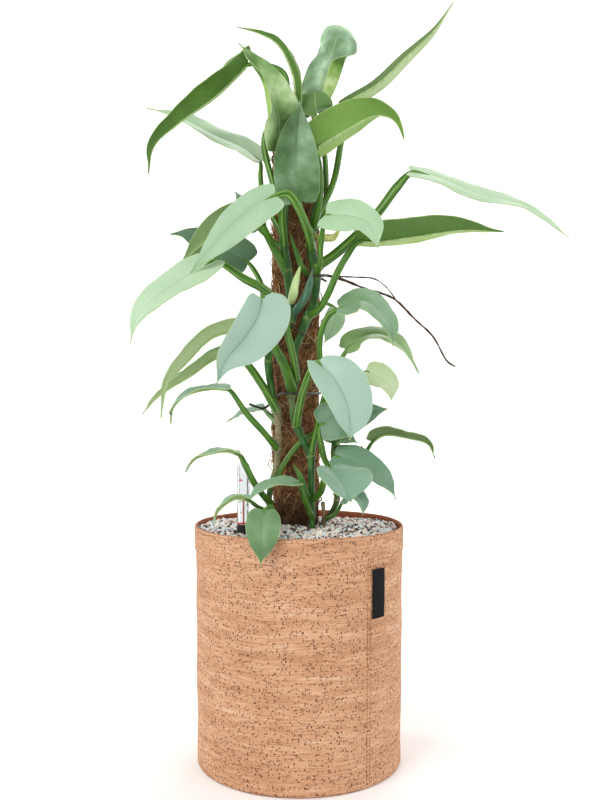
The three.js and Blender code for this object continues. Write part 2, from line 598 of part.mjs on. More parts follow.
// Each leaf: its stalk from the vine, its rib from base to tip, the half width of the blade, the
// way its upper side faces, and how far it is folded along the rib, in degrees.
const LEAVES = {
  leaf_01: {
    look: greenLeaf, half: 8, fold: 66, wave: 0.4, face: [0.7, 0.5, 0.1], tipFace: [0.2, 0.9, 0.2],
    stalk: [[-15, 634, 33], [-9, 680, 31], [-6.5, 715, 29]], thick: 3.2,
    rib: [[-2, 744, 28], [-6, 776, 26], [-23, 810, 20], [-42, 822, 16], [-72, 831, 10]],
  },
  leaf_02: {
    look: paleLeaf, half: [21, 27], fold: 22, face: [0.55, 0.35, 0.75],
    stalk: [[-17, 580, 36], [-19, 606, 50], [-20, 650, 54]], thick: 4.2,
    rib: [[-24, 690, 54], [-23, 725, 56], [-33, 763, 56], [-54, 793, 54], [-68, 812, 50]],
  },
  leaf_03: {
    look: greenLeaf, half: 24, fold: 52, face: [0.35, 0.9, -0.1], tipFace: [-0.7, 0.6, 0],
    stalk: [[-17, 612, 35], [-31, 655, 24], [-39, 706, 2], [-16, 744, -8], [-18, 778, -8]], thick: 3.6,
    rib: [[-59, 788, 6], [-95, 752, 18], [-140, 719, 26], [-166, 694, 30], [-172, 663, 30]],
  },
  leaf_04: {
    look: paleLeaf, half: 28, fold: 12, face: [0.35, 0.8, 0.5],
    stalk: [[-17, 592, 36], [-40, 632, 18], [-44, 660, 0]], thick: 3,
    rib: [[-44, 677, -10], [-62, 691, -16], [-95, 706, -22], [-140, 729, -28], [-174, 738, -32]],
  },
  leaf_05: {
    look: bluishLeaf, half: [25, 16], fold: -14, blunt: 1.9, face: [-0.1, 0.1, 0.98],
    tipFace: [0.1, 0.9, -0.3],
    stalk: [[22, 632, 33], [7, 668, 37], [1.5, 702, 38], [4, 726, 26]], thick: 4,
    rib: [[14, 732, -2], [20, 758, -6], [30, 794, -6], [42, 820, -16], [48, 827, -34], [50, 820, -48]],
  },
  leaf_06: {
    look: greenLeaf, half: 11, fold: 46, face: [-0.1, 0.12, -0.95],
    stalk: [[18, 612, 36], [38, 650, 18], [48, 700, -8]], thick: 3.6,
    rib: [[56, 745, -18], [88, 763, -20], [123, 796, -24], [154, 826, -28], [177, 860, -34]],
  },
  leaf_07: {
    look: greenLeaf, half: 20, fold: -10, blunt: 1.4, face: [0, 0.9, 0.35],
    stalk: [[18, 600, 36], [29, 618, 16], [31, 650, 10], [28, 696, 14]], thick: 3.2,
    rib: [[24, 718, 18], [19, 738, 24], [18, 754, 18], [17, 758, -2]],
  },
  leaf_08: {
    look: greenLeaf, half: [19, 31], fold: 28, face: [-0.15, 0.55, -0.8], tipFace: [0.4, 0.8, 0.1],
    stalk: [[16, 602, 36], [21, 620, 48], [24, 650, 48], [22, 676, 44]], thick: 3.8,
    rib: [[18, 691, 40], [52, 712, 40], [89, 730, 46], [109, 724, 50], [120, 703, 52]],
  },
  leaf_09: {
    look: darkLeaf, half: 26, fold: 20, face: [0.05, -0.05, 1],
    stalk: [[15, 592, 36], [8, 606, 52], [3, 618, 57]], thick: 3.8,
    rib: [[0, 632, 60], [-3, 665, 64], [-3, 700, 64], [1, 746, 54]],
  },
  leaf_10: {
    look: paleLeaf, half: 17, fold: 6, face: [0.3, 0.72, 0.6],
    stalk: [[16, 556, 37], [34, 566, 34], [64, 591, 32], [91, 620, 32], [111, 647, 32]], thick: 5.4,
    rib: [[129, 665, 32], [158, 659, 34], [202, 641, 36], [259, 626, 34], [308, 590, 30]],
  },
  leaf_11: {
    look: darkLeaf, half: [14, 30], fold: 14, face: [-0.05, 0.87, -0.5],
    stalk: [[10, 500, 38], [24, 510, 50], [33, 526, 54], [44, 551, 54], [55, 570, 54]], thick: 3.8,
    rib: [[68, 586, 54], [88, 586, 56], [121, 590, 56], [187, 599, 56], [233, 597, 52]],
  },
  leaf_12: {
    look: paleLeaf, half: 24, fold: 8, heart: 0.6, face: [0.1, 0.5, 0.85],
    stalk: [[19, 546, 37], [23, 556, 52], [25, 585, 66]], thick: 3.2,
    rib: [[31, 616, 74], [56, 615, 86], [80, 606, 94], [90, 577, 96]],
  },
  leaf_13: {
    look: paleLeaf, half: [24, 19], fold: 10, face: [-0.1, 0.35, 0.9],
    stalk: [[14, 577, 37], [10, 597, 64], [-1, 624, 80], [-13, 640, 84]], thick: 4.4,
    rib: [[-27, 638, 86], [-45, 630, 88], [-63, 616, 88], [-86, 594, 86], [-124, 550, 78]],
  },
  leaf_14: {
    look: paleLeaf, half: 29, fold: 10, face: [-0.45, 0.6, 0.66],
    stalk: [[-12, 489, 38], [-24, 514, 50], [-40, 531, 58], [-62, 543, 62]], thick: 4.8,
    rib: [[-96, 564, 64], [-132, 544, 76], [-161, 524, 86], [-184, 500, 92], [-193, 469, 92]],
  },
  leaf_15: {
    look: bluishLeaf, half: 24, fold: 10, face: [0.1, 0.4, 0.85],
    stalk: [[-34, 462, 32], [-42, 500, 16], [-42, 533, 0], [-52, 554, -8]], thick: 3.2,
    rib: [[-58, 562, -10], [-79, 575, -12], [-104, 585, -14], [-130, 594, -14], [-147, 594, -14]],
  },
  leaf_16: {
    look: greenLeaf, half: 22, fold: 8, face: [0.2, 0.6, -0.7],
    stalk: [[-14, 550, 37], [-29, 578, 42], [-43, 606, 38]], thick: 4,
    rib: [[-50, 618, 34], [-80, 605, 34], [-108, 585, 36], [-137, 558, 38]],
  },
  leaf_17: {
    look: bluishLeaf, half: [34, 25], fold: 24, slant: 0.06, face: [0.42, -0.12, 0.88],
    stalk: [[-3, 428, 38], [-7, 455, 58], [-14, 485, 70], [-20, 509, 76]], thick: 3.6,
    rib: [[-42, 522, 82], [-47, 501, 90], [-62, 477, 94], [-84, 450, 92], [-94, 424, 86]],
  },
  leaf_18: {
    look: paleLeaf, half: 15, fold: 58, face: [-0.5, 0.75, -0.1],
    stalk: [[-8, 416, 38], [-17, 445, 54], [-35, 474, 58]], thick: 5,
    rib: [[-52, 488, 58], [-98, 478, 54], [-128, 449, 50], [-150, 423, 46], [-158, 384, 42]],
  },
  leaf_19: {
    look: paleLeaf, half: 11, fold: 66, face: [-0.4, 0.8, 0.15],
    stalk: [[-25, 393, 36], [-42, 422, 38], [-62, 449, 34]], thick: 4.4,
    rib: [[-78, 460, 28], [-99, 452, 24], [-122, 435, 20], [-160, 410, 16], [-179, 389, 12]],
  },
  leaf_20: {
    look: bluishLeaf, half: 18, fold: 12, face: [0.1, 0.97, 0.12],
    stalk: [[-25, 350, 36], [-40, 368, 52], [-60, 390, 58]], thick: 3.6,
    rib: [[-80, 418, 60], [-101, 419, 62], [-131, 410, 64], [-145, 394, 64], [-146, 378, 62]],
  },
  leaf_21: {
    look: bluishLeaf, half: 11, fold: 12, face: [-0.1, 0.95, 0.3],
    stalk: [[-24, 378, 36], [-34, 388, 14]], thick: 3,
    rib: [[-42, 396, -6], [-55, 394, -10], [-66, 390, -14], [-83, 380, -18]],
  },
  leaf_22: {
    look: paleLeaf, half: 13, fold: 12, face: [0, 1, 0.05],
    stalk: [[-33, 288, 34], [-42, 298, 58], [-52, 312, 74], [-62, 332, 84]], thick: 3.6,
    rib: [[-68, 344, 88], [-83, 348, 92], [-101, 345, 96], [-119, 338, 98], [-130, 323, 98]],
  },
  leaf_23: {
    look: paleLeaf, half: 10, fold: 14, face: [0.25, 0.93, 0.3],
    stalk: [[15, 272, 38], [10, 282, 54], [5, 297, 62]], thick: 3.2,
    rib: [[0, 310, 66], [-21, 312, 76], [-36, 308, 82], [-49, 301, 86], [-60, 286, 88]],
  },
  leaf_24: {
    look: paleLeaf, half: 17.5, fold: 10, blunt: 1.15, face: [0, 0.35, 0.93],
    stalk: [[-32, 269, 33], [-29, 276, 58], [-33, 283, 86]], thick: 3.4,
    rib: [[-40, 279, 104], [-41, 262, 116], [-42, 240, 124], [-44, 218, 128]],
  },
  leaf_25: {
    look: bluishLeaf, half: 6.5, fold: 40, face: [0.1, 0.98, 0.1],
    stalk: [[-33, 278, 33], [-46, 283, 62], [-52, 287, 86]], thick: 2.4,
    rib: [[-57, 292, 100], [-73, 293, 104], [-92, 279, 104], [-98, 264, 104]],
  },
  leaf_26: {
    look: bluishLeaf, half: [30, 24], fold: 20, heart: 0.2, blunt: 1.5, slant: -0.04,
    face: [0.25, 0.2, 0.93],
    stalk: [[-3, 376, 44], [-1, 390, 60], [6, 420, 76]], thick: 4,
    rib: [[20, 449, 86], [40, 429, 98], [51, 410, 102], [57, 390, 102], [58, 359, 96]],
  },
  leaf_27: {
    look: darkLeaf, half: 19, fold: 8, face: [0, 0.4, 0.9],
    stalk: [[40, 327, 42], [31, 334, 50], [26, 350, 58]], thick: 3.4,
    rib: [[24, 376, 66], [50, 386, 68], [76, 391, 66], [101, 395, 62]],
  },
  leaf_28: {
    look: paleLeaf, half: 25, fold: 10, face: [0.2, 0.82, 0.54],
    stalk: [[34, 410, 29], [25, 440, 46], [24, 478, 60], [34, 502, 64]], thick: 3.4,
    rib: [[46, 510, 66], [74, 518, 72], [94, 504, 76], [104, 489, 76], [107, 466, 74]],
  },
  leaf_29: {
    look: greenLeaf, half: 21, fold: 12, face: [0.1, 0.9, 0.3], tipFace: [0.6, 0.6, 0.5],
    stalk: [[13, 342, 46], [20, 372, 52], [27, 402, 50], [37, 432, 50]], thick: 3.4,
    rib: [[54, 463, 50], [67, 475, 50], [92, 480, 52], [115, 468, 54], [137, 436, 54]],
  },
  leaf_30: {
    look: youngLeaf, half: 18, fold: 10, face: [0.25, 0.6, 0.75],
    stalk: [[41, 352, 42], [52, 372, 28], [66, 402, 34], [73, 428, 54]], thick: 2.8,
    rib: [[76, 438, 66], [90, 433, 70], [102, 424, 72], [106, 404, 72]],
  },
  leaf_31: {
    look: darkLeaf, half: 16, fold: 24, face: [0.1, 0.9, -0.2],
    stalk: [[41, 296, 42], [56, 316, 34], [72, 338, 34]], thick: 2.8,
    rib: [[83, 358, 38], [97, 366, 42], [126, 362, 44], [147, 355, 44], [155, 339, 42]],
  },
  leaf_32: {
    look: darkLeaf, half: 19, fold: 10, face: [0.25, 0.6, 0.75],
    stalk: [[41, 312, 42], [46, 322, 56], [40, 332, 66]], thick: 3.2,
    rib: [[41, 341, 74], [60, 337, 80], [84, 326, 86], [100, 311, 88], [111, 292, 86]],
  },
  leaf_33: {
    look: paleLeaf, half: [37, 20], fold: 18, heart: 0.4, blunt: 1.5, face: [0.4, 0.62, 0.68],
    stalk: [[15, 292, 40], [24, 299, 57], [29, 316, 83]], thick: 3.4,
    rib: [[34, 328, 96], [44, 318, 112], [52, 306, 124], [59, 289, 130]],
  },
  leaf_34: {
    look: bluishLeaf, half: 12, fold: 12, face: [0.3, 0.7, 0.6],
    stalk: [[29, 268, 26], [42, 276, 50]], thick: 2.2,
    rib: [[50, 292, 66], [62, 298, 74], [72, 290, 80], [73, 274, 82]],
  },
  leaf_35: {
    look: paleLeaf, half: 13, fold: 10, face: [0, 0.45, 0.85],
    stalk: [[-27, 316, 34], [-18, 331, 34], [-8, 346, 33], [3, 358, 31], [16, 366, 28]], thick: 3,
    rib: [[28, 369, 24], [42, 367, 24], [56, 362, 26], [67, 356, 26]],
  },
  leaf_36: {
    look: paleLeaf, half: 12, fold: 12, face: [0.3, 0.2, 0.9],
    stalk: [[12, 506, 38], [26, 516, 26]], thick: 2.2,
    rib: [[43, 508, 18], [38, 490, 20], [29, 470, 22]],
  },
  leaf_37: {
    look: paleLeaf, half: 14, fold: 12, face: [0.2, 0.4, 0.85],
    stalk: [[-17, 578, 36], [-32, 588, 20]], thick: 2.4,
    rib: [[-46, 600, 8], [-58, 618, 6], [-73, 643, 4]],
  },
};

for (const [name, leaf] of Object.entries(LEAVES)) {
  addPiece(name, leafSolid(leaf), leaf.look);
}

// New growth: a rolled leaf, a bare stub and the papery sheaths that held earlier leaves.
// Each point is [across, up, nearer, radius].

const SHOOTS = {
  new_leaf_spike: {
    look: youngLeaf,
    points: [[-10, 516, 38, 4], [-7, 525, 51, 4.8], [-3, 542, 57, 3.9], [1, 557, 59, 0.9]],
  },
  sheath_lower: {
    look: sheathSkin,
    points: [[12, 292, 40, 3.4], [6, 304, 51, 4], [1, 318, 53, 3.4], [-7, 332, 53, 0.7]],
  },
  sheath_middle: {
    look: vineBark,
    points: [[-7, 503, 38, 4.5], [5, 519, 50, 4.5], [12, 538, 53, 3.5], [15, 553, 53, 0.6]],
  },
  sheath_upper: {
    look: sheathSkin,
    points: [[9, 549, 37, 3.2], [3, 557, 44, 3.5], [-2, 570, 46, 3], [-11, 596, 46, 0.6]],
  },
  sheath_right: {
    look: sheathSkin,
    points: [[17, 590, 37, 3.6], [28, 590, 48, 4.6], [39, 590, 52, 4.8], [47, 600, 52, 0.6]],
  },
};

for (const [name, { look, points }] of Object.entries(SHOOTS)) {
  const shoot = bar(points.map(seen), points.map((point) => point[3]), { steps: 5 });
  addPiece(name, largestBody(shoot.subtract(vineRoom)), look);
}

// Aerial roots. Each point is [across, up, nearer].

const ROOT_LONG = [
  [20, 546, 31], [31, 547, 21], [50, 542, 20], [75, 532, 20], [107, 521, 20], [132, 497, 20],
  [152, 478, 20], [169, 449, 20], [178, 443, 20],
];
const ROOT_BRANCH = [[38, 546, 21], [64, 545, 22], [86, 543, 20], [99, 534, 20], [110, 520, 20]];
const ROOT_SHORT = [[-9, 494, 40], [-4, 487, 46], [3, 481, 47.5], [10, 476, 46]];
const ROOT_LOW = [[40, 348, 42], [43, 352, 51], [51, 353, 51], [60, 349, 48], [72, 352, 44]];

function root(points, radius, steps) {
  return bar(points.map(seen), points.map(() => radius), { sides: 5, steps });
}

addPiece('aerial_root_long', largestBody(
  root(ROOT_LONG, 1.5, 18).add(root(ROOT_BRANCH, 1, 8)).subtract(vineRoom),
), rootBark);
addPiece('aerial_root_short', largestBody(root(ROOT_SHORT, 1.2, 5).subtract(vineRoom)), rootBark);
addPiece('aerial_root_low', largestBody(root(ROOT_LOW, 1, 7).subtract(vineRoom)), rootBark);

// Ties: soft wire round the pole and the front vine, and round that vine higher up.
// Each point is [x, y, z].

const WIRE_RADIUS = 1;
const TIE_LOW = [
  [-56, -20, 401], [-48, -19, 398], [-41, -15, 396], [-33, -4, 401], [-31, -13, 407], [-22, -24, 411],
  [-18.5, -37, 413], [-15, -46, 413], [-7, -49, 413], [3, -43, 413], [18, -22, 413], [24.5, -4, 413],
  [14, 22, 412], [-4, 28.5, 411], [-24, 21, 408], [-32, 5, 397],
];
const TIE_HIGH = [
  [30, -22, 538], [25, -27, 540], [13, -27.5, 541], [8.5, -33, 541], [10.5, -44, 541],
  [19, -47.5, 541], [27, -43, 542], [29, -35, 543], [27, -31, 544],
];

function wire(points, steps) {
  const places = points.map(([x, y, z]) => new THREE.Vector3(x, y, z));
  return bar(places, points.map(() => WIRE_RADIUS), { sides: 5, steps });
}

addPiece('tie_low', wire(TIE_LOW, 30), tieWire);
addPiece('tie_high', wire(TIE_HIGH, 18), tieWire);

export default plant;
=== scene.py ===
"""A silver-leaved philodendron on a coir pole, in a cork fabric planter, laid out as an add-on."""

import math
import random

import bpy
import numpy as np
from bpy.props import FloatProperty, FloatVectorProperty, IntProperty, PointerProperty
from bpy.types import Operator, Panel, PropertyGroup
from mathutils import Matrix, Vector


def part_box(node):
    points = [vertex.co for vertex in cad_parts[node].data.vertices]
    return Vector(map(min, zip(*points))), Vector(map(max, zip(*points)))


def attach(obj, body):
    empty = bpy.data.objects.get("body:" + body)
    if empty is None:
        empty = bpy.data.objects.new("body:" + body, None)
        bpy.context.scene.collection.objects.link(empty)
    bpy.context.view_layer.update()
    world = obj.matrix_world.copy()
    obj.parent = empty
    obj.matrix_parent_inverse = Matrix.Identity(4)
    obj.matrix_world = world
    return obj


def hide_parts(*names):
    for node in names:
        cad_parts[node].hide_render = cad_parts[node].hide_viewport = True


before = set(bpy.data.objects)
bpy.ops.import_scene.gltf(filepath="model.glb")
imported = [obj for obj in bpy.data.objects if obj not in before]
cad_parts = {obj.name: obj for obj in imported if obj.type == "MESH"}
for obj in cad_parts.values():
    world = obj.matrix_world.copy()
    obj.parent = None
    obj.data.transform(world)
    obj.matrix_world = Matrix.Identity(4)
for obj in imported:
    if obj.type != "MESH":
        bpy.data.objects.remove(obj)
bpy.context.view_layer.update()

bl_info = {
    "name": "Potted silver queen philodendron",
    "version": (1, 0, 0),
    "blender": (4, 5, 0),
    "location": "3D View > Sidebar > Philodendron",
    "description": "Grows a silver-leaved philodendron on a coir pole in a cork fabric planter",
    "category": "Object",
}

# Sizes that the pieces share, in millimetres unless a name says otherwise
MM = 0.001
RIM_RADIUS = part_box("planter_cover")[1].x / MM
PLANTER_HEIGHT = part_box("planter_cover")[1].z / MM
FOOT_RADIUS = RIM_RADIUS - 2.5
COVER_WALL = 2.6
BED_RADIUS = 112.8
POLE_X = -4
POLE_RADIUS = 25.5
POLE_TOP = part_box("coir_pole")[1].z / MM
GAUGE_X = -60
GAUGE_Y = -58
SLEEVE_RADIUS = 7.3
TUBE_RADIUS = 6.9
TUBE_BORE = 4.2
SLEEVE_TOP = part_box("gauge_sleeve")[1].z / MM
TUBE_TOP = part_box("gauge_tube")[1].z / MM
BLADE_THICKNESS = 0.9
# A grid's seam is closed by merging vertices that are nearer than this, in metres
SEAM_GAP = 2e-6
# Side veins follow a wave that is this many radians long, so each half has about 17 of them
VEIN_WAVE = 110.0

# Places on the plant are read in a level view from the front: how far across and how high a point
# stands on the plane through the pole, and how much nearer than that plane it lies.
EYE_BACK = 1100
EYE_UP = 425


def seen(across, up, nearer, *rest):
    """The place of a point of the plant, in millimetres. A radius that follows it isn't used."""
    shrink = (EYE_BACK - nearer) / EYE_BACK
    return np.array((across * shrink, -nearer, EYE_UP + (up - EYE_UP) * shrink))


def unit(way):
    """Vectors cut to a length of one."""
    way = np.asarray(way, float)
    return way / np.maximum(np.linalg.norm(way, axis=-1, keepdims=True), 1e-12)


def facing(right, up, nearer):
    """A direction written as right, up and towards the viewer."""
    return unit((right, -nearer, up))


def linear(code):
    """The linear colour of an sRGB hex code such as #d9a77f."""
    parts = [int(code[i : i + 2], 16) / 255 for i in (1, 3, 5)]
    return (*[p / 12.92 if p <= 0.04045 else ((p + 0.055) / 1.055) ** 2.4 for p in parts], 1.0)


def per(size_mm):
    """The scale of a pattern in a metre whose features are this many millimetres across."""
    return 1000 / size_mm


def bands_per(size_mm):
    """The scale of a wave pattern in a metre whose bands are this many millimetres apart."""
    return 1000 * (2 * math.pi / 20) / size_mm


def soft_step(low, high, x):
    """0 below low, 1 above high, and smooth between."""
    t = np.clip((np.asarray(x, float) - low) / (high - low), 0, 1)
    return t * t * (3 - 2 * t)


def lumps(x, y, size):
    """A smooth field of lumps, about one lump to each size."""
    wave = np.sin((x * 1.7 + y * 0.6) / size) * np.cos((y * 1.9 - x * 0.5) / size)
    return wave + 0.5 * np.sin((x * 3.1 - y * 2.3) / size + 1.3)


class SmoothLine:
    """A smooth line through points in millimetres, read by the share of its length."""

    def __init__(self, points, steps=24):
        p = np.array([point[:3] for point in points], float)
        p = np.vstack([2 * p[0] - p[1], p, 2 * p[-1] - p[-2]])
        places, knots = [], []
        t = np.linspace(0, 1, steps, endpoint=False)[:, None]
        for i in range(1, len(p) - 2):
            a, b, c, d = p[i - 1 : i + 3]
            before, here, after = (np.linalg.norm(v) ** 0.5 for v in (b - a, c - b, d - c))
            start = ((b - a) / before - (c - a) / (before + here) + (c - b) / here) * here
            end = ((c - b) / here - (d - b) / (here + after) + (d - c) / after) * here
            bend = (-3 * b + 3 * c - 2 * start - end) * t**2
            places.append(b + start * t + bend + (2 * b - 2 * c + start + end) * t**3)
            knots.append(i - 1 + t[:, 0])
        self.places = np.vstack([*places, p[-2:-1]])
        self.knots = np.concatenate([*knots, [len(p) - 3]])
        steps_taken = np.linalg.norm(np.diff(self.places, axis=0), axis=1)
        self.reach = np.concatenate([[0], np.cumsum(steps_taken)])
        self.length = self.reach[-1]
        self.ways = unit(np.gradient(self.places, axis=0))

    def _read(self, table, share):
        where = np.clip(share, 0, 1) * self.length
        return np.stack([np.interp(where, self.reach, column) for column in table.T], -1)

    def at(self, share):
        """Points at shares of the length. Beyond an end the line goes straight on."""
        share = np.asarray(share, float)
        past = (share - np.clip(share, 0, 1)) * self.length
        return self._read(self.places, share) + self.way(share) * past[..., None]

    def way(self, share):
        """The line's direction at shares of its length."""
        return unit(self._read(self.ways, np.asarray(share, float)))

    def value(self, numbers, share):
        """Numbers given at the line's points, read between them."""
        knot = np.interp(np.clip(share, 0, 1) * self.length, self.reach, self.knots)
        return np.interp(knot, np.arange(len(numbers)), numbers)

    def frames(self, shares, up=(0.3, -0.5, 0.8)):
        """Two directions across the line at each share, which turn as little as they can."""
        ways = self.way(shares)
        first = []
        last = np.array(up, float)
        for way in ways:
            last = unit(last - way * last.dot(way))
            first.append(last)
        first = np.array(first)
        return first, np.cross(ways, first)


# Making pieces


def select_only(*pieces):
    """Leaves these pieces selected and the last of them active."""
    bpy.ops.object.select_all(action="DESELECT")
    for piece in pieces:
        piece.select_set(True)
        bpy.context.view_layer.objects.active = piece


def points_of(piece):
    """A piece's vertices in millimetres."""
    co = np.empty(len(piece.data.vertices) * 3)
    piece.data.vertices.foreach_get("co", co)
    return co.reshape(-1, 3) / MM


def place_points(piece, points):
    """Puts a piece's vertices at these places in millimetres."""
    piece.data.vertices.foreach_set("co", (np.asarray(points) * MM).ravel())
    piece.data.update()


def keep_value(piece, name, values):
    """Stores a number on each vertex for a material to read."""
    kept = piece.data.attributes.new(name, "FLOAT", "POINT")
    kept.data.foreach_set("value", np.asarray(values, np.float32))


def start_piece(name, add, **values):
    """Adds a primitive with nothing else selected, and names it."""
    bpy.ops.object.select_all(action="DESELECT")
    add(**values)
    piece = bpy.context.object
    piece.name = piece.data.name = name
    return piece


def settle(piece):
    """Puts a piece's place and turn into its mesh."""
    select_only(piece)
    bpy.ops.object.transform_apply(location=True, rotation=True, scale=True)


def apply_modifier(piece, kind, **settings):
    """Adds one modifier and applies it."""
    select_only(piece)
    bpy.ops.object.modifier_add(type=kind)
    modifier = piece.modifiers[-1]
    for key, value in settings.items():
        setattr(modifier, key, value)
    bpy.ops.object.modifier_apply(modifier=modifier.name)


def smooth(piece, angle=40):
    """Smooth shading, with edges sharper than an angle kept crisp."""
    select_only(piece)
    bpy.ops.object.shade_smooth_by_angle(angle=math.radians(angle))


def edit_all(operator, **settings):
    """Runs one mesh operator on the whole of the active piece."""
    bpy.ops.object.mode_set(mode="EDIT")
    bpy.ops.mesh.select_all(action="SELECT")
    operator(**settings)
    bpy.ops.object.mode_set(mode="OBJECT")


def turned(name, profile, sides=96, x=0, y=0, ring=False):
    """A piece turned on an upright axis: a disc drawn out ring by ring. Points are radius, height."""
    radius, height = profile[0]
    piece = start_piece(
        name, bpy.ops.mesh.primitive_circle_add, vertices=sides, radius=radius * MM,
        fill_type="NOTHING" if ring else "NGON", location=(x * MM, y * MM, height * MM),
    )
    settle(piece)
    bpy.ops.object.mode_set(mode="EDIT")
    bpy.ops.mesh.select_all(action="SELECT")
    for (r0, z0), (r1, z1) in zip(profile, profile[1:]):
        bpy.ops.mesh.extrude_region_move(TRANSFORM_OT_translate={"value": (0, 0, (z1 - z0) * MM)})
        bpy.ops.transform.resize(
            value=(r1 / r0, r1 / r0, 1), center_override=(x * MM, y * MM, z1 * MM)
        )
    bpy.ops.mesh.select_all(action="SELECT")
    if ring:
        bpy.ops.mesh.remove_doubles(threshold=1e-6)
    bpy.ops.mesh.normals_make_consistent(inside=False)
    bpy.ops.object.mode_set(mode="OBJECT")
    return piece


def laid(name, columns, rows, place, closed=False):
    """A grid primitive laid out by place(u, v). A closed one is sewn along its seam and ends."""
    piece = start_piece(
        name, bpy.ops.mesh.primitive_grid_add, x_subdivisions=columns, y_subdivisions=rows, size=1,
    )
    flat = points_of(piece) * MM + 0.5
    place_points(piece, place(flat[:, 0], flat[:, 1]))
    if closed:
        bpy.ops.object.mode_set(mode="EDIT")
        bpy.ops.mesh.select_all(action="SELECT")
        bpy.ops.mesh.remove_doubles(threshold=SEAM_GAP)
        bpy.ops.mesh.fill_holes(sides=0)
        bpy.ops.mesh.select_all(action="SELECT")
        bpy.ops.mesh.normals_make_consistent(inside=False)
        bpy.ops.object.mode_set(mode="OBJECT")
    return piece


def tube(name, line, radius, sides=12, rows=40, up=(0.3, -0.5, 0.8)):
    """A closed round bar along a line. radius(turn, share) is in millimetres."""

    def place(u, v):
        shares = np.linspace(0, 1, rows + 1)
        index = np.rint(v * rows).astype(int)
        first, second = line.frames(shares, up)
        turn = (u % 1) * 2 * math.pi
        out = first[index] * np.cos(turn)[:, None] + second[index] * np.sin(turn)[:, None]
        return line.at(shares)[index] + out * radius(turn, shares[index])[:, None]

    return laid(name, sides, rows, place, closed=True)


def joined(name, pieces):
    """Several pieces made one."""
    select_only(*pieces)
    if len(pieces) > 1:
        bpy.ops.object.join()
    piece = bpy.context.object
    piece.name = piece.data.name = name
    return piece


def template(piece):
    """The vertices and faces of a small shape that is repeated many times. The shape is removed."""
    points = points_of(piece)
    faces = [list(face.vertices) for face in piece.data.polygons]
    bpy.data.objects.remove(piece)
    return points, faces


def repeated(name, shapes, copies):
    """One piece of many copies. Each copy is (shape number, function that lays its points, value)."""
    points, corners, sizes, values = [], [], [], []
    count = 0
    for number, lay, value in copies:
        shape, faces = shapes[number]
        placed = lay(shape)
        points.append(placed)
        for face in faces:
            corners.extend(count + i for i in face)
            sizes.append(len(face))
        values.extend([value] * len(placed))
        count += len(placed)
    mesh = bpy.data.meshes.new(name)
    mesh.vertices.add(count)
    mesh.vertices.foreach_set("co", (np.vstack(points) * MM).astype(np.float32).ravel())
    mesh.loops.add(len(corners))
    mesh.loops.foreach_set("vertex_index", corners)
    mesh.polygons.add(len(sizes))
    mesh.polygons.foreach_set("loop_start", np.cumsum([0] + sizes[:-1]))
    mesh.update(calc_edges=True)
    mesh.validate()
    piece = bpy.data.objects.new(name, mesh)
    bpy.context.scene.collection.objects.link(piece)
    keep_value(piece, "tone", values)
    return piece


def finish_piece(piece, body, nodes=(), materials=()):
    """Gives a piece its materials and its body, and hides the CAD nodes that it stands for."""
    if materials:
        piece.data.materials.clear()
        for material in materials:
            piece.data.materials.append(material)
    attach(piece, body)
    if nodes:
        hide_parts(*nodes)


# Materials

# Settings that their nodes share
MULTIPLY = {"operation": "MULTIPLY"}
MULTIPLY_ADD = {"operation": "MULTIPLY_ADD"}
SUBTRACT = {"operation": "SUBTRACT"}
ABSOLUTE = {"operation": "ABSOLUTE"}
SINE = {"operation": "SINE"}
COLOURS = {"data_type": "RGBA"}


def new_material(name):
    """An empty node material."""
    material = bpy.data.materials.new(name)
    material.use_nodes = True
    material.node_tree.nodes.clear()
    return material


def add(material, kind, settings=None, **sockets):
    """Adds one node. A socket is named, or given as i and its number.

    It takes a number, a colour or its hex code, a node for its first output, or (node, output).
    """
    tree = material.node_tree
    node = tree.nodes.new("ShaderNode" + kind)
    settings = dict(settings or {})
    stops = settings.pop("stops", ())
    for key, value in settings.items():
        setattr(node, key, value)
    while stops and len(node.color_ramp.elements) < len(stops):
        node.color_ramp.elements.new(1.0)
    for number, (position, colour) in enumerate(stops):
        node.color_ramp.elements[number].position = position
        node.color_ramp.elements[number].color = plain_colour(colour)
    for key, value in sockets.items():
        numbered = key[0] == "i" and key[1:].isdigit()
        socket = node.inputs[int(key[1:]) if numbered else key.replace("_", " ")]
        if isinstance(value, bpy.types.Node):
            value = (value, 0)
        if isinstance(value, tuple) and isinstance(value[0], bpy.types.Node):
            tree.links.new(value[0].outputs[value[1]], socket)
        else:
            socket.default_value = plain_colour(value)
    return node


def plain_colour(value):
    """A hex code turned to its linear colour. Any other value stays as it is."""
    return linear(value) if isinstance(value, str) else value


def shaded(made, tint, rough, ior, relief=None, strength=0.0, depth=0.0, **sockets):
    """Ends a material in its shader and output. A relief has its depth in metres."""
    if relief is not None:
        sockets["Normal"] = add(made, "Bump", Strength=strength, Distance=depth, Height=relief)
    shader = add(made, "BsdfPrincipled", Base_Color=tint, Roughness=rough, IOR=ior, **sockets)
    add(made, "OutputMaterial", Surface=shader)
    return made


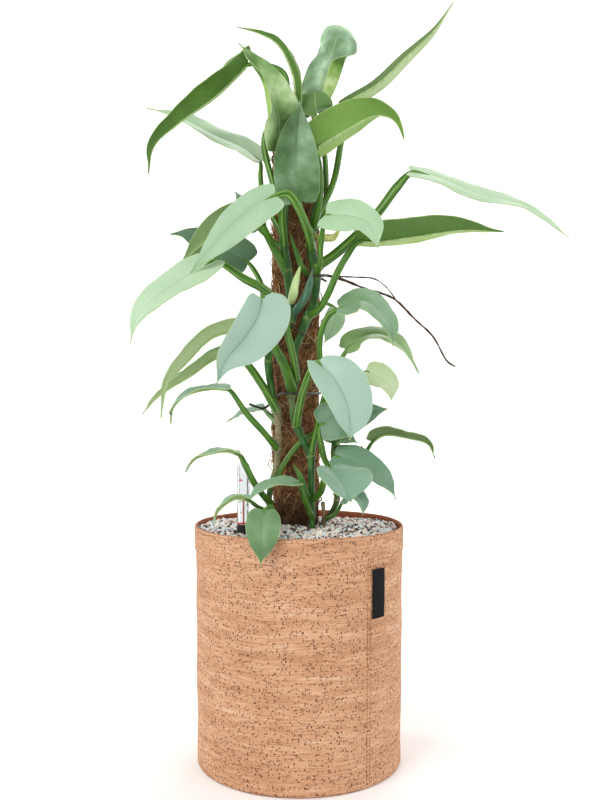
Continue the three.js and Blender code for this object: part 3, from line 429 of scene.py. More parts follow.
def cork_fabric(settings):
    """Cork bark shaved thin and glued to cloth: drawn-out grain in bands, with dark bark pores."""
    made = new_material("cork_fabric_shaved_and_bonded")
    place = (add(made, "TexCoord"), 3)
    sway = add(made, "TexNoise", Vector=place, Scale=per(150), Detail=1.0)
    shift = add(made, "VectorMath", MULTIPLY_ADD, i0=(sway, 1), i1=(0.0, 0.0, 0.012), i2=place)
    # Grain strands are about 24 mm long and 1 mm deep, in bands about 9 mm deep
    flat = add(made, "Mapping", Vector=shift, Scale=(per(24), per(24), per(1.0)))
    strands = add(made, "TexNoise", Vector=flat, Scale=1.0, Detail=4.0, Roughness=0.8)
    wide = add(made, "Mapping", Vector=shift, Scale=(per(70), per(70), per(9)))
    bands = add(made, "TexNoise", Vector=wide, Scale=1.0, Detail=4.0, Roughness=0.6)
    both = add(made, "Math", MULTIPLY_ADD, i0=bands, i1=0.4, i2=strands)
    stops = (0.52, "#b27c59"), (0.65, "#c7936e"), (0.76, tuple(settings.cork)), (0.88, "#e3c0a2")
    grain = add(made, "ValToRGB", {"stops": stops}, Fac=both)
    # Pores are up to about 1.7 mm across, in rows and clusters
    dots = add(made, "Mapping", Vector=place, Scale=(per(2.2), per(2.2), per(2.6)))
    cells = add(made, "TexVoronoi", Vector=dots, Scale=1.0, Randomness=1.0)
    near = add(made, "MapRange", Value=cells, From_Min=0.46, From_Max=0.33)
    chosen = add(made, "SeparateColor", Color=(cells, 1))
    rows = add(made, "Mapping", Vector=shift, Scale=(per(22), per(22), per(4)))
    cluster = add(made, "TexNoise", Vector=rows, Scale=1.0, Detail=2.0)
    crowd = add(made, "Math", MULTIPLY_ADD, i0=cluster, i1=1.5, i2=chosen)
    picked = add(made, "Math", {"operation": "GREATER_THAN"}, i0=crowd, i1=1.27)
    pore = add(made, "Math", MULTIPLY, i0=near, i1=picked)
    depth = add(made, "Math", MULTIPLY_ADD, i0=(chosen, 1), i1=0.5, i2=0.5)
    bark = add(made, "Math", MULTIPLY, i0=pore, i1=depth)
    tint = add(made, "Mix", COLOURS, i0=bark, i6=grain, i7="#4d2518")
    # The turned-in hem inside the rim is darkened with painted shade
    inside = add(made, "Attribute", {"attribute_name": "inside"})
    shade_multiply = {"data_type": "RGBA", "blend_type": "MULTIPLY"}
    inside_shaded = add(made, "Mix", shade_multiply, i0=(inside, 2), i6=(tint, 2), i7="#c08a78")
    sunk = add(made, "Math", SUBTRACT, i0=strands, i1=pore)
    return shaded(made, (inside_shaded, 2), 0.8, 1.45, sunk, 0.4, 0.0005)


def sewing_thread(settings):
    """Twisted polyester thread: a soft sheen on tiny plies."""
    made = new_material("sewing_thread_twisted_polyester")
    place = (add(made, "TexCoord"), 3)
    slant = {"bands_direction": "DIAGONAL"}
    plies = add(made, "TexWave", slant, Vector=place, Scale=bands_per(1.2), Distortion=1.0)
    tint = add(made, "Mix", COLOURS, i0=plies, i6=tuple(settings.thread), i7="#8d5a30")
    return shaded(made, (tint, 2), 0.55, 1.5, plies, 0.3, 0.0002)


def liner_sheet():
    """Coated textile: an even grey skin with a faint cloth grain."""
    made = new_material("coated_textile_liner")
    place = (add(made, "TexCoord"), 3)
    cloth = add(made, "TexNoise", Vector=place, Scale=per(1.6), Detail=3.0)
    tint = add(made, "Mix", COLOURS, i0=cloth, i6="#5d6063", i7="#8a8d8f")
    return shaded(made, (tint, 2), 0.5, 1.5, cloth, 0.25, 0.0003)


def mineral_grit():
    """Crushed pumice, zeolite and lava: dull broken faces, cream, bluish white and brown."""
    made = new_material("mineral_granules_crushed")
    place = (add(made, "TexCoord"), 3)
    tone = add(made, "Attribute", {"attribute_name": "tone"})
    stops = (
        (0.0, "#fdf6ee"), (0.24, "#f5e4d6"), (0.34, "#e4c9b6"), (0.38, "#ecf8fd"),
        (0.64, "#dceaee"), (0.69, "#b3968a"), (0.84, "#70555a"), (0.93, "#382c2e"),
    )
    stone = add(made, "ValToRGB", {"stops": stops}, Fac=(tone, 2))
    # Vesicles are about 0.9 mm across, greyed in their hollows with painted shade
    holes = add(made, "TexNoise", Vector=place, Scale=per(0.9), Detail=4.0, Roughness=0.6)
    shade = add(made, "MapRange", Value=holes, From_Min=0.28, From_Max=0.46)
    tint = add(made, "Mix", COLOURS, i0=shade, i6="#a59a90", i7=stone)
    return shaded(made, (tint, 2), 0.92, 1.5, holes, 0.6, 0.0005)


def coir_fibre():
    """Coconut husk fibre, needled to a mat: dry brown strands, a few of them straw-coloured."""
    made = new_material("coir_fibre_needled")
    place = (add(made, "TexCoord"), 3)
    tone = add(made, "Attribute", {"attribute_name": "tone"})
    stops = (0.0, "#5a3a22"), (0.3, "#8f623d"), (0.6, "#b58453"), (0.85, "#d2a676"), (1.0, "#e8cba2")
    strand = add(made, "ValToRGB", {"stops": stops}, Fac=(tone, 2))
    mottle = add(made, "TexNoise", Vector=place, Scale=per(7), Detail=4.0)
    dark = add(made, "MapRange", Value=mottle, From_Min=0.26, From_Max=0.44)
    deep = add(made, "Mix", COLOURS, i0=dark, i6="#4a2e1d", i7=strand)
    # The foot is darker where it stands in the granules
    height = add(made, "SeparateXYZ", Vector=place)
    darker_foot = add(made, "MapRange", Value=(height, 2), From_Min=0.262, From_Max=0.31)
    tint = add(made, "Mix", COLOURS, i0=darker_foot, i6="#4a3420", i7=(deep, 2))
    return shaded(made, (tint, 2), 0.85, 1.5, mottle, 0.5, 0.0006)


def turned_wood():
    """A plain softwood core, sawn and sanded: fine upright grain."""
    made = new_material("softwood_sanded")
    place = (add(made, "TexCoord"), 3)
    long = add(made, "Mapping", Vector=place, Scale=(per(1.2), per(1.2), per(40)))
    grain = add(made, "TexNoise", Vector=long, Scale=1.0, Detail=4.0, Roughness=0.6)
    tint = add(made, "Mix", COLOURS, i0=grain, i6="#96693f", i7="#c9a379")
    return shaded(made, (tint, 2), 0.7, 1.5, grain, 0.2, 0.0003)


def stem_skin():
    """Living climbing stem: a smooth waxy green skin with pale patches and brown scars at its nodes."""
    made = new_material("climbing_stem_living_skin")
    place = (add(made, "TexCoord"), 3)
    long = add(made, "Mapping", Vector=place, Scale=(per(5), per(5), per(26)))
    streak = add(made, "TexNoise", Vector=long, Scale=1.0, Detail=4.0, Roughness=0.6)
    greens = (0.3, "#1c4012"), (0.5, "#2f5f22"), (0.64, "#4a7c38"), (0.8, "#7aa365")
    green = add(made, "ValToRGB", {"stops": greens}, Fac=streak)
    fine = add(made, "TexNoise", Vector=place, Scale=per(3), Detail=5.0)
    browns = (0.35, "#7c6048"), (0.55, "#b39c80"), (0.7, "#8c8f62")
    bark = add(made, "ValToRGB", {"stops": browns}, Fac=fine)
    papery = add(made, "Attribute", {"attribute_name": "papery"})
    dry = add(made, "Mix", COLOURS, i0=(papery, 2), i6=green, i7=bark)
    scar = add(made, "Attribute", {"attribute_name": "scar"})
    tint = add(made, "Mix", COLOURS, i0=(scar, 2), i6=(dry, 2), i7="#8f9a58")
    return shaded(made, (tint, 2), 0.42, 1.45, streak, 0.3, 0.0006)


def stalk_skin(name, deep, bright, ridge):
    """Leaf stalk: a firm waxy green skin with pale ridges on both sides of its gutter."""
    made = new_material(name)
    sheet = (add(made, "TexCoord"), 2)
    # Streaks run from the deep green to the bright one: partly the stalk's own tone, partly painted shade
    # and painted highlight, laid at random
    along = add(made, "Mapping", Vector=sheet, Scale=(5.0, 2.0, 1.0))
    streak = add(made, "TexNoise", Vector=along, Scale=1.6, Detail=4.0, Roughness=0.55)
    share = add(made, "MapRange", Value=streak, From_Min=0.36, From_Max=0.7)
    tint = add(made, "Mix", COLOURS, i0=share, i6=deep, i7=bright)
    # Round the girth the gutter lies at 0 and its ridges at a tenth to either side
    girth = add(made, "SeparateXYZ", Vector=sheet)
    middle = add(made, "Math", SUBTRACT, i0=girth, i1=0.5)
    aside = add(made, "Math", ABSOLUTE, i0=middle)
    away = add(made, "Math", SUBTRACT, i0=aside, i1=0.39)
    off = add(made, "Math", ABSOLUTE, i0=away)
    on_ridge = add(made, "MapRange", Value=off, From_Min=0.05, From_Max=0.015)
    ridge_share = add(made, "Math", MULTIPLY, i0=on_ridge, i1=0.4)
    ridged = add(made, "Mix", COLOURS, i0=ridge_share, i6=(tint, 2), i7=ridge)
    return shaded(made, (ridged, 2), 0.3, 1.45, streak, 0.15, 0.0004)


def blade_skin(name, shades, vein, edge, rough=0.42, groove=None):
    """Leaf skin: a waxy bloom over green, with a pale rib, fine side veins and a pale edge."""
    made = new_material(name)
    coordinates = add(made, "TexCoord")
    across = add(made, "SeparateXYZ", Vector=(coordinates, 2))
    middle = add(made, "Math", SUBTRACT, i0=across, i1=0.5)
    aside = add(made, "Math", ABSOLUTE, i0=middle)
    # Each half has its own share of bloom, and a lower share on one half is painted shade. Clouds in it are
    # about 34 mm across, and a strong mottle makes them painted sheen as well as bloom
    half = add(made, "MapRange", Value=middle, From_Min=-0.01, From_Max=0.01)
    left = add(made, "Attribute", {"attribute_name": "bloom_left"})
    right = add(made, "Attribute", {"attribute_name": "bloom_right"})
    own = add(made, "Mix", {"data_type": "FLOAT"}, i0=half, i2=(left, 2), i3=(right, 2))
    mottle = add(made, "Attribute", {"attribute_name": "mottle"})
    cloud = add(made, "TexNoise", Vector=(coordinates, 3), Scale=per(34), Detail=3.0, Roughness=0.5)
    raised = add(made, "Math", SUBTRACT, i0=cloud, i1=0.5)
    bloom = add(made, "Math", MULTIPLY_ADD, i0=raised, i1=(mottle, 2), i2=own)
    stops = tuple(zip((0.0, 0.28, 0.52, 0.78, 1.0), shades))
    base = add(made, "ValToRGB", {"stops": stops}, Fac=bloom)
    # Side veins lean towards the tip, and fainter ones lie twice as close
    lean = add(made, "Attribute", {"attribute_name": "lean"})
    leaned = add(made, "Math", MULTIPLY, i0=aside, i1=(lean, 2))
    row = add(made, "Math", SUBTRACT, i0=(across, 1), i1=leaned)
    veins = add(made, "Math", MULTIPLY, i0=row, i1=VEIN_WAVE)
    wave = add(made, "Math", SINE, i0=veins)
    crest = add(made, "MapRange", Value=wave, From_Min=0.7, From_Max=1.0)
    fine = add(made, "Math", MULTIPLY, i0=row, i1=2 * VEIN_WAVE)
    ripple = add(made, "Math", SINE, i0=fine)
    faint = add(made, "MapRange", Value=ripple, From_Min=-1.0, From_Max=1.0)
    crest_share = add(made, "Math", MULTIPLY, i0=crest, i1=0.06)
    vein_share = add(made, "Math", MULTIPLY_ADD, i0=faint, i1=0.025, i2=crest_share)
    veined = add(made, "Mix", COLOURS, i0=vein_share, i6=base, i7=vein)
    on_rib = add(made, "MapRange", Value=aside, From_Min=0.017, From_Max=0.006)
    rib_share = add(made, "Math", MULTIPLY, i0=on_rib, i1=0.5)
    ribbed = add(made, "Mix", COLOURS, i0=rib_share, i6=(veined, 2), i7=groove or vein)
    at_edge = add(made, "MapRange", Value=aside, From_Min=0.478, From_Max=0.497)
    edge_share = add(made, "Math", MULTIPLY, i0=at_edge, i1=0.35)
    edged = add(made, "Mix", COLOURS, i0=edge_share, i6=(ribbed, 2), i7=edge)
    relief = add(made, "Math", MULTIPLY_ADD, i0=crest, i1=0.12, i2=cloud)
    return shaded(made, (edged, 2), rough, 1.42, relief, 0.18, 0.0008)


def plain_skin(name, first, second, size, rough, depth=0.0004, strength=0.3):
    """A skin of two tones, mottled at a size in millimetres, with the same mottle as relief."""
    made = new_material(name)
    place = (add(made, "TexCoord"), 3)
    mottle = add(made, "TexNoise", Vector=place, Scale=per(size), Detail=5.0, Roughness=0.6)
    share = add(made, "MapRange", Value=mottle, From_Min=0.35, From_Max=0.65)
    tint = add(made, "Mix", COLOURS, i0=share, i6=first, i7=second)
    return shaded(made, (tint, 2), rough, 1.45, mottle, strength, depth)


def clear_plastic():
    """Injection-moulded clear polystyrene: bright edges and a clean see-through wall."""
    made = new_material("clear_polystyrene_moulded")
    place = (add(made, "TexCoord"), 3)
    flow = add(made, "TexNoise", Vector=place, Scale=per(9), Detail=1.0)
    return shaded(made, "#eef1f2", 0.04, 1.45, flow, 0.05, 0.0004, Transmission_Weight=0.93)


def woven_label():
    """Damask ribbon woven from black polyester: a close ribbed weave, drawn coarse enough to show."""
    made = new_material("label_ribbon_damask_polyester")
    place = (add(made, "TexCoord"), 3)
    level = {"bands_direction": "Z"}
    scale = bands_per(1.1)
    weft = add(made, "TexWave", level, Vector=place, Scale=scale, Distortion=0.6, Detail=1.0)
    tint = add(made, "Mix", COLOURS, i0=weft, i6="#0b0b0d", i7="#19191b")
    return shaded(made, (tint, 2), 0.85, 1.3, weft, 0.4, 0.0003)


def studio_paper(settings):
    """Seamless background paper, matt and faintly mottled."""
    made = new_material("background_paper_matt")
    place = (add(made, "TexCoord"), 3)
    pulp = add(made, "TexNoise", Vector=place, Scale=per(300), Detail=2.0)
    pale = tuple(settings.floor)
    paler = tuple(min(1.0, part * 1.02) for part in pale)
    tint = add(made, "Mix", COLOURS, i0=pulp, i6=pale, i7=paler)
    return shaded(made, (tint, 2), 0.9, 1.4)


# The plant's own tables. Stems and shoots are [across, up, nearer, radius].
VINE_LEFT = (
    (-31, 190, 30, 3.2), (-32, 262, 33, 3.5), (-34, 297, 33, 3.3), (-25, 334, 35, 3.3), (-24, 350, 36, 4.2),
    (-24, 371, 36, 3.4), (-25, 392, 36, 4.4), (-30, 411, 35, 3.6), (-35, 449, 32, 4.6), (-31, 470, 33, 4),
    (-19, 482, 36, 4.2), (-9, 494, 38, 5.2), (-10, 519, 38, 4.3), (-13, 552, 37, 5.4), (-17, 580, 36, 4.9),
    (-17, 612, 35, 4.6), (-15, 640, 33, 4.2),
)
VINE_FRONT = (
    (15, 190, 34, 3.2), (15, 268, 38, 3.4), (14, 294, 40, 4.2), (14, 318, 44, 3.6), (13, 341, 46, 4.8),
    (5, 359, 46, 4), (-3, 376, 44, 4.8), (-8, 399, 39, 3.8), (-9, 410, 38, 4.8), (-3, 434, 38, 4.1),
    (-5, 460, 38, 4.1), (2, 479, 38, 4.3), (9, 498, 38, 5.2), (17, 519, 38, 4.5), (19, 545, 37, 5.4),
    (14, 578, 37, 5.2), (16, 604, 36, 4.6), (22, 636, 33, 4.2),
)
VINE_RIGHT = (
    (24, 200, 14, 2.6), (26, 262, 20, 2.7), (37, 277, 28, 2.8), (43, 292, 38, 3.5), (40, 331, 42, 3),
    (40, 345, 42, 3.8), (41, 369, 40, 3), (38, 395, 34, 3.4), (33, 414, 28, 3),
)
DRY_SHOOT = (
    (27, 262, 22, 2.2), (28, 275, 36, 1.8), (27, 288, 44, 2.4),
)
ROOT_LONG = (
    (20, 546, 31), (31, 547, 21), (50, 542, 20), (75, 532, 20), (107, 521, 20), (132, 497, 20),
    (152, 478, 20), (169, 449, 20), (178, 443, 20),
)
ROOT_BRANCH = (
    (38, 546, 21), (64, 545, 22), (86, 543, 20), (99, 534, 20), (110, 520, 20),
)
ROOT_SHORT = (
    (-9, 494, 40), (-4, 487, 46), (3, 481, 47.5), (10, 476, 46),
)
ROOT_LOW = (
    (40, 348, 42), (43, 352, 51), (51, 353, 51), (60, 349, 48), (72, 352, 44),
)
# Points of the ties are x, y, z.
TIE_LOW = (
    (-56, -20, 401), (-48, -19, 398), (-41, -15, 396), (-33, -4, 401), (-31, -13, 407), (-22, -24, 411),
    (-18.5, -37, 413), (-15, -46, 413), (-7, -49, 413), (3, -43, 413), (18, -22, 413), (24.5, -4, 413),
    (14, 22, 412), (-4, 28.5, 411), (-24, 21, 408), (-32, 5, 397),
)
TIE_HIGH = (
    (30, -22, 538), (25, -27, 540), (13, -27.5, 541), (8.5, -33, 541), (10.5, -44, 541),
    (19, -47.5, 541), (27, -43, 542), (29, -35, 543), (27, -31, 544),
)

# A shoot is hollowed along one side by its gap, as a share of its radius.
SHOOTS = {
    "new_leaf_spike": dict(
        look="young", gap=0,
        points=((-10, 516, 38, 4), (-7, 525, 51, 4.8), (-3, 542, 57, 3.9), (1, 557, 59, 0.9)),
    ),
    "sheath_lower": dict(
        look="green", gap=0.2,
        points=((12, 292, 40, 3.4), (6, 304, 51, 4), (1, 318, 53, 3.4), (-7, 332, 53, 0.7)),
    ),
    "sheath_middle": dict(
        look="stem", gap=0,
        points=((-7, 503, 38, 4.5), (5, 519, 50, 4.5), (12, 538, 53, 3.5), (15, 553, 53, 0.6)),
    ),
    "sheath_upper": dict(
        look="green", gap=0,
        points=((9, 549, 37, 3.2), (3, 557, 44, 3.5), (-2, 570, 46, 3), (-11, 596, 46, 0.6)),
    ),
    "sheath_right": dict(
        look="papery", gap=0.35,
        points=((17, 590, 37, 3.6), (28, 590, 48, 4.6), (39, 590, 52, 4.8), (47, 600, 52, 0.6)),
    ),
}

# Each leaf, in millimetres. A pair is for the halves left and right of the rib.
# look: its upper skin, unless skin names another. under: its under skin, or else pale
# half: half its width. fold: how steeply its halves rise, in degrees. thick: its stalk's radius
# bloom: from 0 (bare green) to 1 (silver); in a pair the lower share is painted shade on the half turned
# from the light. mottle: how much the bloom varies in clouds; the strong ones of leaf_02, leaf_05 and
# leaf_09 paint patches of sheen
# heart: from 0 (a rounded base) to 1 (a heart-shaped one). blunt: over 1 for a broader tip
# slant: how far one half runs ahead of the other. wave: the ripple of its edge
# curl: how far its edges bend down. roll: the margin that is folded over, as in blade_points
# face, tip_face: the way its upper side faces at the base and the tip, as right, up and nearer
# stalk: points from its vine to the blade. rib: points from base to tip
LEAVES = dict(
    leaf_01=dict(
        look="green", under="bright", half=8, fold=66, wave=0.4, bloom=0.2, mottle=0.5, thick=3.2,
        face=(0.7, 0.5, 0.1), tip_face=(0.2, 0.9, 0.2),
        stalk=((-15, 634, 33), (-9, 680, 31), (-6.5, 715, 29)),
        rib=((-2, 744, 28), (-6, 776, 26), (-23, 810, 20), (-42, 822, 16), (-72, 831, 10)),
    ),
    leaf_02=dict(
        look="silver", under="bright", half=27, fold=22, bloom=0.52, mottle=2.2,
        roll=(-1, 0.15, 0.85, 2.5, 0.72, 0), skin="green", thick=4.2, face=(0.55, 0.35, 0.75),
        stalk=((-17, 580, 36), (-19, 606, 50), (-20, 650, 54)),
        rib=((-24, 690, 54), (-23, 725, 56), (-33, 763, 56), (-54, 793, 54), (-68, 812, 50)),
    ),
    leaf_03=dict(
        look="green", under="bright", half=24, fold=52, bloom=0.22, mottle=0.5, heart=0.9, thick=3.6,
        face=(0.35, 0.9, -0.1), tip_face=(-0.7, 0.6, 0),
        stalk=((-17, 612, 35), (-31, 655, 24), (-39, 706, 2), (-16, 744, -8), (-18, 778, -8)),
        rib=((-59, 788, 6), (-95, 752, 18), (-140, 719, 26), (-166, 694, 30), (-172, 663, 30)),
    ),
    leaf_04=dict(
        look="silver", half=28, fold=12, bloom=0.86, thick=3, face=(0.35, 0.8, 0.5),
        stalk=((-17, 592, 36), (-40, 632, 18), (-44, 660, 0)),
        rib=((-44, 677, -10), (-62, 691, -16), (-95, 706, -22), (-140, 729, -28), (-174, 738, -32)),
    ),
    leaf_05=dict(
        look="blue", under="bright", half=25, fold=-4, bloom=0.6, mottle=2.6,
        roll=(1, -0.1, 0.58, 2.5, 0.6, 1.1), blunt=1.35, wave=0.4, curl=0.5, heart=0.7, skin="silver",
        thick=4, face=(-0.05, 0.1, 0.99), tip_face=(0.1, 0.9, -0.3),
        stalk=((22, 632, 33), (7, 668, 37), (1.5, 702, 38), (4, 726, 26)),
        rib=(
            (18, 736, -2), (21, 752, -5), (27, 771, -7), (33, 790, -7), (40, 808, -8),
            (44, 822, -12), (45, 832, -24), (44, 831, -40), (42, 821, -54),
        ),
    ),
    leaf_06=dict(
        look="green", half=11, fold=46, bloom=(0.8, 0.2), heart=0.7, thick=3.6, face=(-0.1, 0.12, -0.95),
        stalk=((18, 612, 36), (38, 650, 18), (48, 700, -8)),
        rib=((56, 745, -18), (88, 763, -20), (123, 796, -24), (154, 826, -28), (177, 860, -34)),
    ),
    leaf_07=dict(
        look="green", under="bright", half=20, fold=-10, bloom=0.3, blunt=1.4, thick=3.2,
        face=(0, 0.9, 0.35),
        stalk=((18, 600, 36), (29, 618, 16), (31, 650, 10), (28, 696, 14)),
        rib=((24, 718, 18), (19, 738, 24), (18, 754, 18), (17, 758, -2)),
    ),
    leaf_08=dict(
        look="green", under="bright", half=(19, 31), fold=28, bloom=(0.72, 0.5), mottle=0.35, thick=3.8,
        face=(-0.15, 0.55, -0.8), tip_face=(0.4, 0.8, 0.1),
        stalk=((16, 602, 36), (21, 620, 48), (24, 650, 48), (22, 676, 44)),
        rib=((18, 691, 40), (52, 712, 40), (89, 730, 46), (109, 724, 50), (120, 703, 52)),
    ),
    leaf_09=dict(
        look="slate", under="bright", half=26, fold=20, bloom=0.44, mottle=2, thick=3.8,
        face=(0.05, -0.05, 1),
        stalk=((15, 592, 36), (8, 606, 52), (3, 618, 57)),
        rib=((0, 632, 60), (-3, 665, 64), (-3, 700, 64), (1, 746, 54)),
    ),
    leaf_10=dict(
        look="silver", half=17, fold=6, bloom=0.9, thick=5.4, face=(0.3, 0.72, 0.6),
        stalk=((16, 556, 37), (34, 566, 34), (64, 591, 32), (91, 620, 32), (111, 647, 32)),
        rib=((129, 665, 32), (158, 659, 34), (202, 641, 36), (259, 626, 34), (308, 590, 30)),
    ),
    leaf_11=dict(
        look="slate", under="bright", half=(14, 30), fold=14, bloom=(0.85, 0.2), thick=3.8,
        face=(-0.05, 0.87, -0.5),
        stalk=((10, 500, 38), (24, 510, 50), (33, 526, 54), (44, 551, 54), (55, 570, 54)),
        rib=((68, 586, 54), (88, 586, 56), (121, 590, 56), (187, 599, 56), (233, 597, 52)),
    ),
    leaf_12=dict(
        look="silver", half=24, fold=8, bloom=0.8, heart=0.6, thick=3.2, face=(0.1, 0.5, 0.85),
        stalk=((19, 546, 37), (23, 556, 52), (25, 585, 66)),
        rib=((31, 616, 74), (56, 615, 86), (80, 606, 94), (90, 577, 96)),
    ),
    leaf_13=dict(
        look="silver", half=(24, 19), fold=10, bloom=0.68, thick=4.4, face=(-0.1, 0.35, 0.9),
        stalk=((14, 577, 37), (10, 597, 64), (-1, 624, 80), (-13, 640, 84)),
        rib=((-27, 638, 86), (-45, 630, 88), (-63, 616, 88), (-86, 594, 86), (-124, 550, 78)),
    ),
    leaf_14=dict(
        look="silver", half=29, fold=10, bloom=0.85, thick=4.8, face=(-0.45, 0.6, 0.66),
        stalk=((-12, 489, 38), (-24, 514, 50), (-40, 531, 58), (-62, 543, 62)),
        rib=((-96, 564, 64), (-132, 544, 76), (-161, 524, 86), (-184, 500, 92), (-193, 469, 92)),
    ),
    leaf_15=dict(
        look="blue", half=24, fold=10, bloom=0.15, thick=3.2, face=(0.1, 0.4, 0.85),
        stalk=((-34, 462, 32), (-42, 500, 16), (-42, 533, 0), (-52, 554, -8)),
        rib=((-58, 562, -10), (-79, 575, -12), (-104, 585, -14), (-130, 594, -14), (-147, 594, -14)),
    ),
    leaf_16=dict(
        look="green", half=22, fold=8, bloom=0.4, thick=4, face=(0.2, 0.6, -0.7),
        stalk=((-14, 550, 37), (-29, 578, 42), (-43, 606, 38)),
        rib=((-50, 618, 34), (-80, 605, 34), (-108, 585, 36), (-137, 558, 38)),
    ),
    leaf_17=dict(
        look="blue", half=(34, 25), fold=24, bloom=0.74, slant=0.06, thick=3.6, face=(0.42, -0.12, 0.88),
        stalk=((-3, 428, 38), (-7, 455, 58), (-14, 485, 70), (-20, 509, 76)),
        rib=((-42, 522, 82), (-47, 501, 90), (-62, 477, 94), (-84, 450, 92), (-94, 424, 86)),
    ),
    leaf_18=dict(
        look="silver", half=15, fold=58, bloom=0.72, thick=5, face=(-0.5, 0.75, -0.1),
        stalk=((-8, 416, 38), (-17, 445, 54), (-35, 474, 58)),
        rib=((-52, 488, 58), (-98, 478, 54), (-128, 449, 50), (-150, 423, 46), (-158, 384, 42)),
    ),
    leaf_19=dict(
        look="silver", half=11, fold=66, bloom=0.62, thick=4.4, face=(-0.4, 0.8, 0.15),
        stalk=((-25, 393, 36), (-42, 422, 38), (-62, 449, 34)),
        rib=((-78, 460, 28), (-99, 452, 24), (-122, 435, 20), (-160, 410, 16), (-179, 389, 12)),
    ),
    leaf_20=dict(
        look="blue", half=18, fold=12, bloom=0.4, thick=3.6, face=(0.1, 0.97, 0.12),
        stalk=((-25, 350, 36), (-40, 368, 52), (-60, 390, 58)),
        rib=((-80, 418, 60), (-101, 419, 62), (-131, 410, 64), (-145, 394, 64), (-146, 378, 62)),
    ),
    leaf_21=dict(
        look="blue", half=11, fold=12, bloom=0.6, thick=3, face=(-0.1, 0.95, 0.3),
        stalk=((-24, 378, 36), (-34, 388, 14)),
        rib=((-42, 396, -6), (-55, 394, -10), (-66, 390, -14), (-83, 380, -18)),
    ),
    leaf_22=dict(
        look="silver", half=13, fold=12, bloom=0.5, thick=3.6, face=(0, 1, 0.05),
        stalk=((-33, 288, 34), (-42, 298, 58), (-52, 312, 74), (-62, 332, 84)),
        rib=((-68, 344, 88), (-83, 348, 92), (-101, 345, 96), (-119, 338, 98), (-130, 323, 98)),
    ),
    leaf_23=dict(
        look="silver", half=10, fold=14, bloom=0.55, thick=3.2, face=(0.25, 0.93, 0.3),
        stalk=((15, 272, 38), (10, 282, 54), (5, 297, 62)),
        rib=((0, 310, 66), (-21, 312, 76), (-36, 308, 82), (-49, 301, 86), (-60, 286, 88)),
    ),
    leaf_24=dict(
        look="silver", half=18, fold=10, bloom=0.28, mottle=0.7, blunt=1.15, thick=3.4,
        face=(0, 0.35, 0.93),
        stalk=((-32, 269, 33), (-29, 276, 58), (-33, 283, 86)),
        rib=((-40, 279, 104), (-41, 262, 116), (-42, 240, 124), (-44, 218, 128)),
    ),
    leaf_25=dict(
        look="blue", half=6.5, fold=40, bloom=0.5, thick=2.4, face=(0.1, 0.98, 0.1),
        stalk=((-33, 278, 33), (-46, 283, 62), (-52, 287, 86)),
        rib=((-57, 292, 100), (-73, 293, 104), (-92, 279, 104), (-98, 264, 104)),
    ),
    leaf_26=dict(
        look="blue", half=(30, 24), fold=20, bloom=0.7, heart=0.2, slant=-0.04, blunt=1.5, thick=4,
        face=(0.25, 0.2, 0.93),
        stalk=((-3, 376, 44), (-1, 390, 60), (6, 420, 76)),
        rib=((20, 449, 86), (40, 429, 98), (51, 410, 102), (57, 390, 102), (58, 359, 96)),
    ),
    leaf_27=dict(
        look="slate", half=23, fold=8, bloom=0.24, skin="blue", thick=3.4, face=(0, 0.4, 0.9),
        stalk=((40, 327, 42), (31, 334, 50), (26, 350, 58)),
        rib=((24, 376, 66), (50, 386, 68), (76, 391, 66), (101, 395, 62)),
    ),
    leaf_28=dict(
        look="silver", half=25, fold=10, bloom=0.44, mottle=0.5, thick=3.4, face=(0.2, 0.82, 0.54),
        stalk=((34, 410, 29), (25, 440, 46), (24, 478, 60), (34, 502, 64)),
        rib=((46, 510, 66), (74, 518, 72), (94, 504, 76), (104, 489, 76), (107, 466, 74)),
    ),
    leaf_29=dict(
        look="green", half=21, fold=12, bloom=0.62, thick=3.4, face=(0.1, 0.9, 0.3),
        tip_face=(0.6, 0.6, 0.5),
        stalk=((13, 342, 46), (20, 372, 52), (27, 402, 50), (37, 432, 50)),
        rib=((54, 463, 50), (67, 475, 50), (92, 480, 52), (115, 468, 54), (137, 436, 54)),
    ),
    leaf_30=dict(
        look="young", half=18, fold=10, bloom=0.75, wave=0.3, thick=2.8, face=(0.25, 0.6, 0.75),
        stalk=((41, 352, 42), (52, 372, 28), (66, 402, 34), (73, 428, 54)),
        rib=((76, 438, 66), (90, 433, 70), (102, 424, 72), (106, 404, 72)),
    ),
    leaf_31=dict(
        look="slate", half=16, fold=24, bloom=0.15, thick=2.8, face=(0.1, 0.9, -0.2),
        stalk=((41, 296, 42), (56, 316, 34), (72, 338, 34)),
        rib=((83, 358, 38), (97, 366, 42), (126, 362, 44), (147, 355, 44), (155, 339, 42)),
    ),
    leaf_32=dict(
        look="slate", half=19, fold=10, bloom=0.3, skin="blue", thick=3.2, face=(0.25, 0.6, 0.75),
        stalk=((41, 312, 42), (46, 322, 56), (40, 332, 66)),
        rib=((41, 341, 74), (60, 337, 80), (84, 326, 86), (100, 311, 88), (111, 292, 86)),
    ),
    leaf_33=dict(
        look="silver", half=(36, 28), fold=18, bloom=0.38, mottle=0.25, heart=0.4, blunt=1.8, skin="blue",
        thick=3.4, face=(0.4, 0.62, 0.68),
        stalk=((15, 292, 40), (24, 299, 57), (29, 316, 83)),
        rib=((34, 328, 96), (44, 318, 112), (52, 306, 124), (59, 289, 130)),
    ),
    leaf_34=dict(
        look="blue", half=12, fold=12, bloom=0.45, thick=2.2, face=(0.3, 0.7, 0.6),
        stalk=((29, 268, 26), (42, 276, 50)),
        rib=((50, 292, 66), (62, 298, 74), (72, 290, 80), (73, 274, 82)),
    ),
    leaf_35=dict(
        look="silver", half=13, fold=10, bloom=0.5, thick=3, face=(0, 0.45, 0.85),
        stalk=((-27, 316, 34), (-18, 331, 34), (-8, 346, 33), (3, 358, 31), (16, 366, 28)),
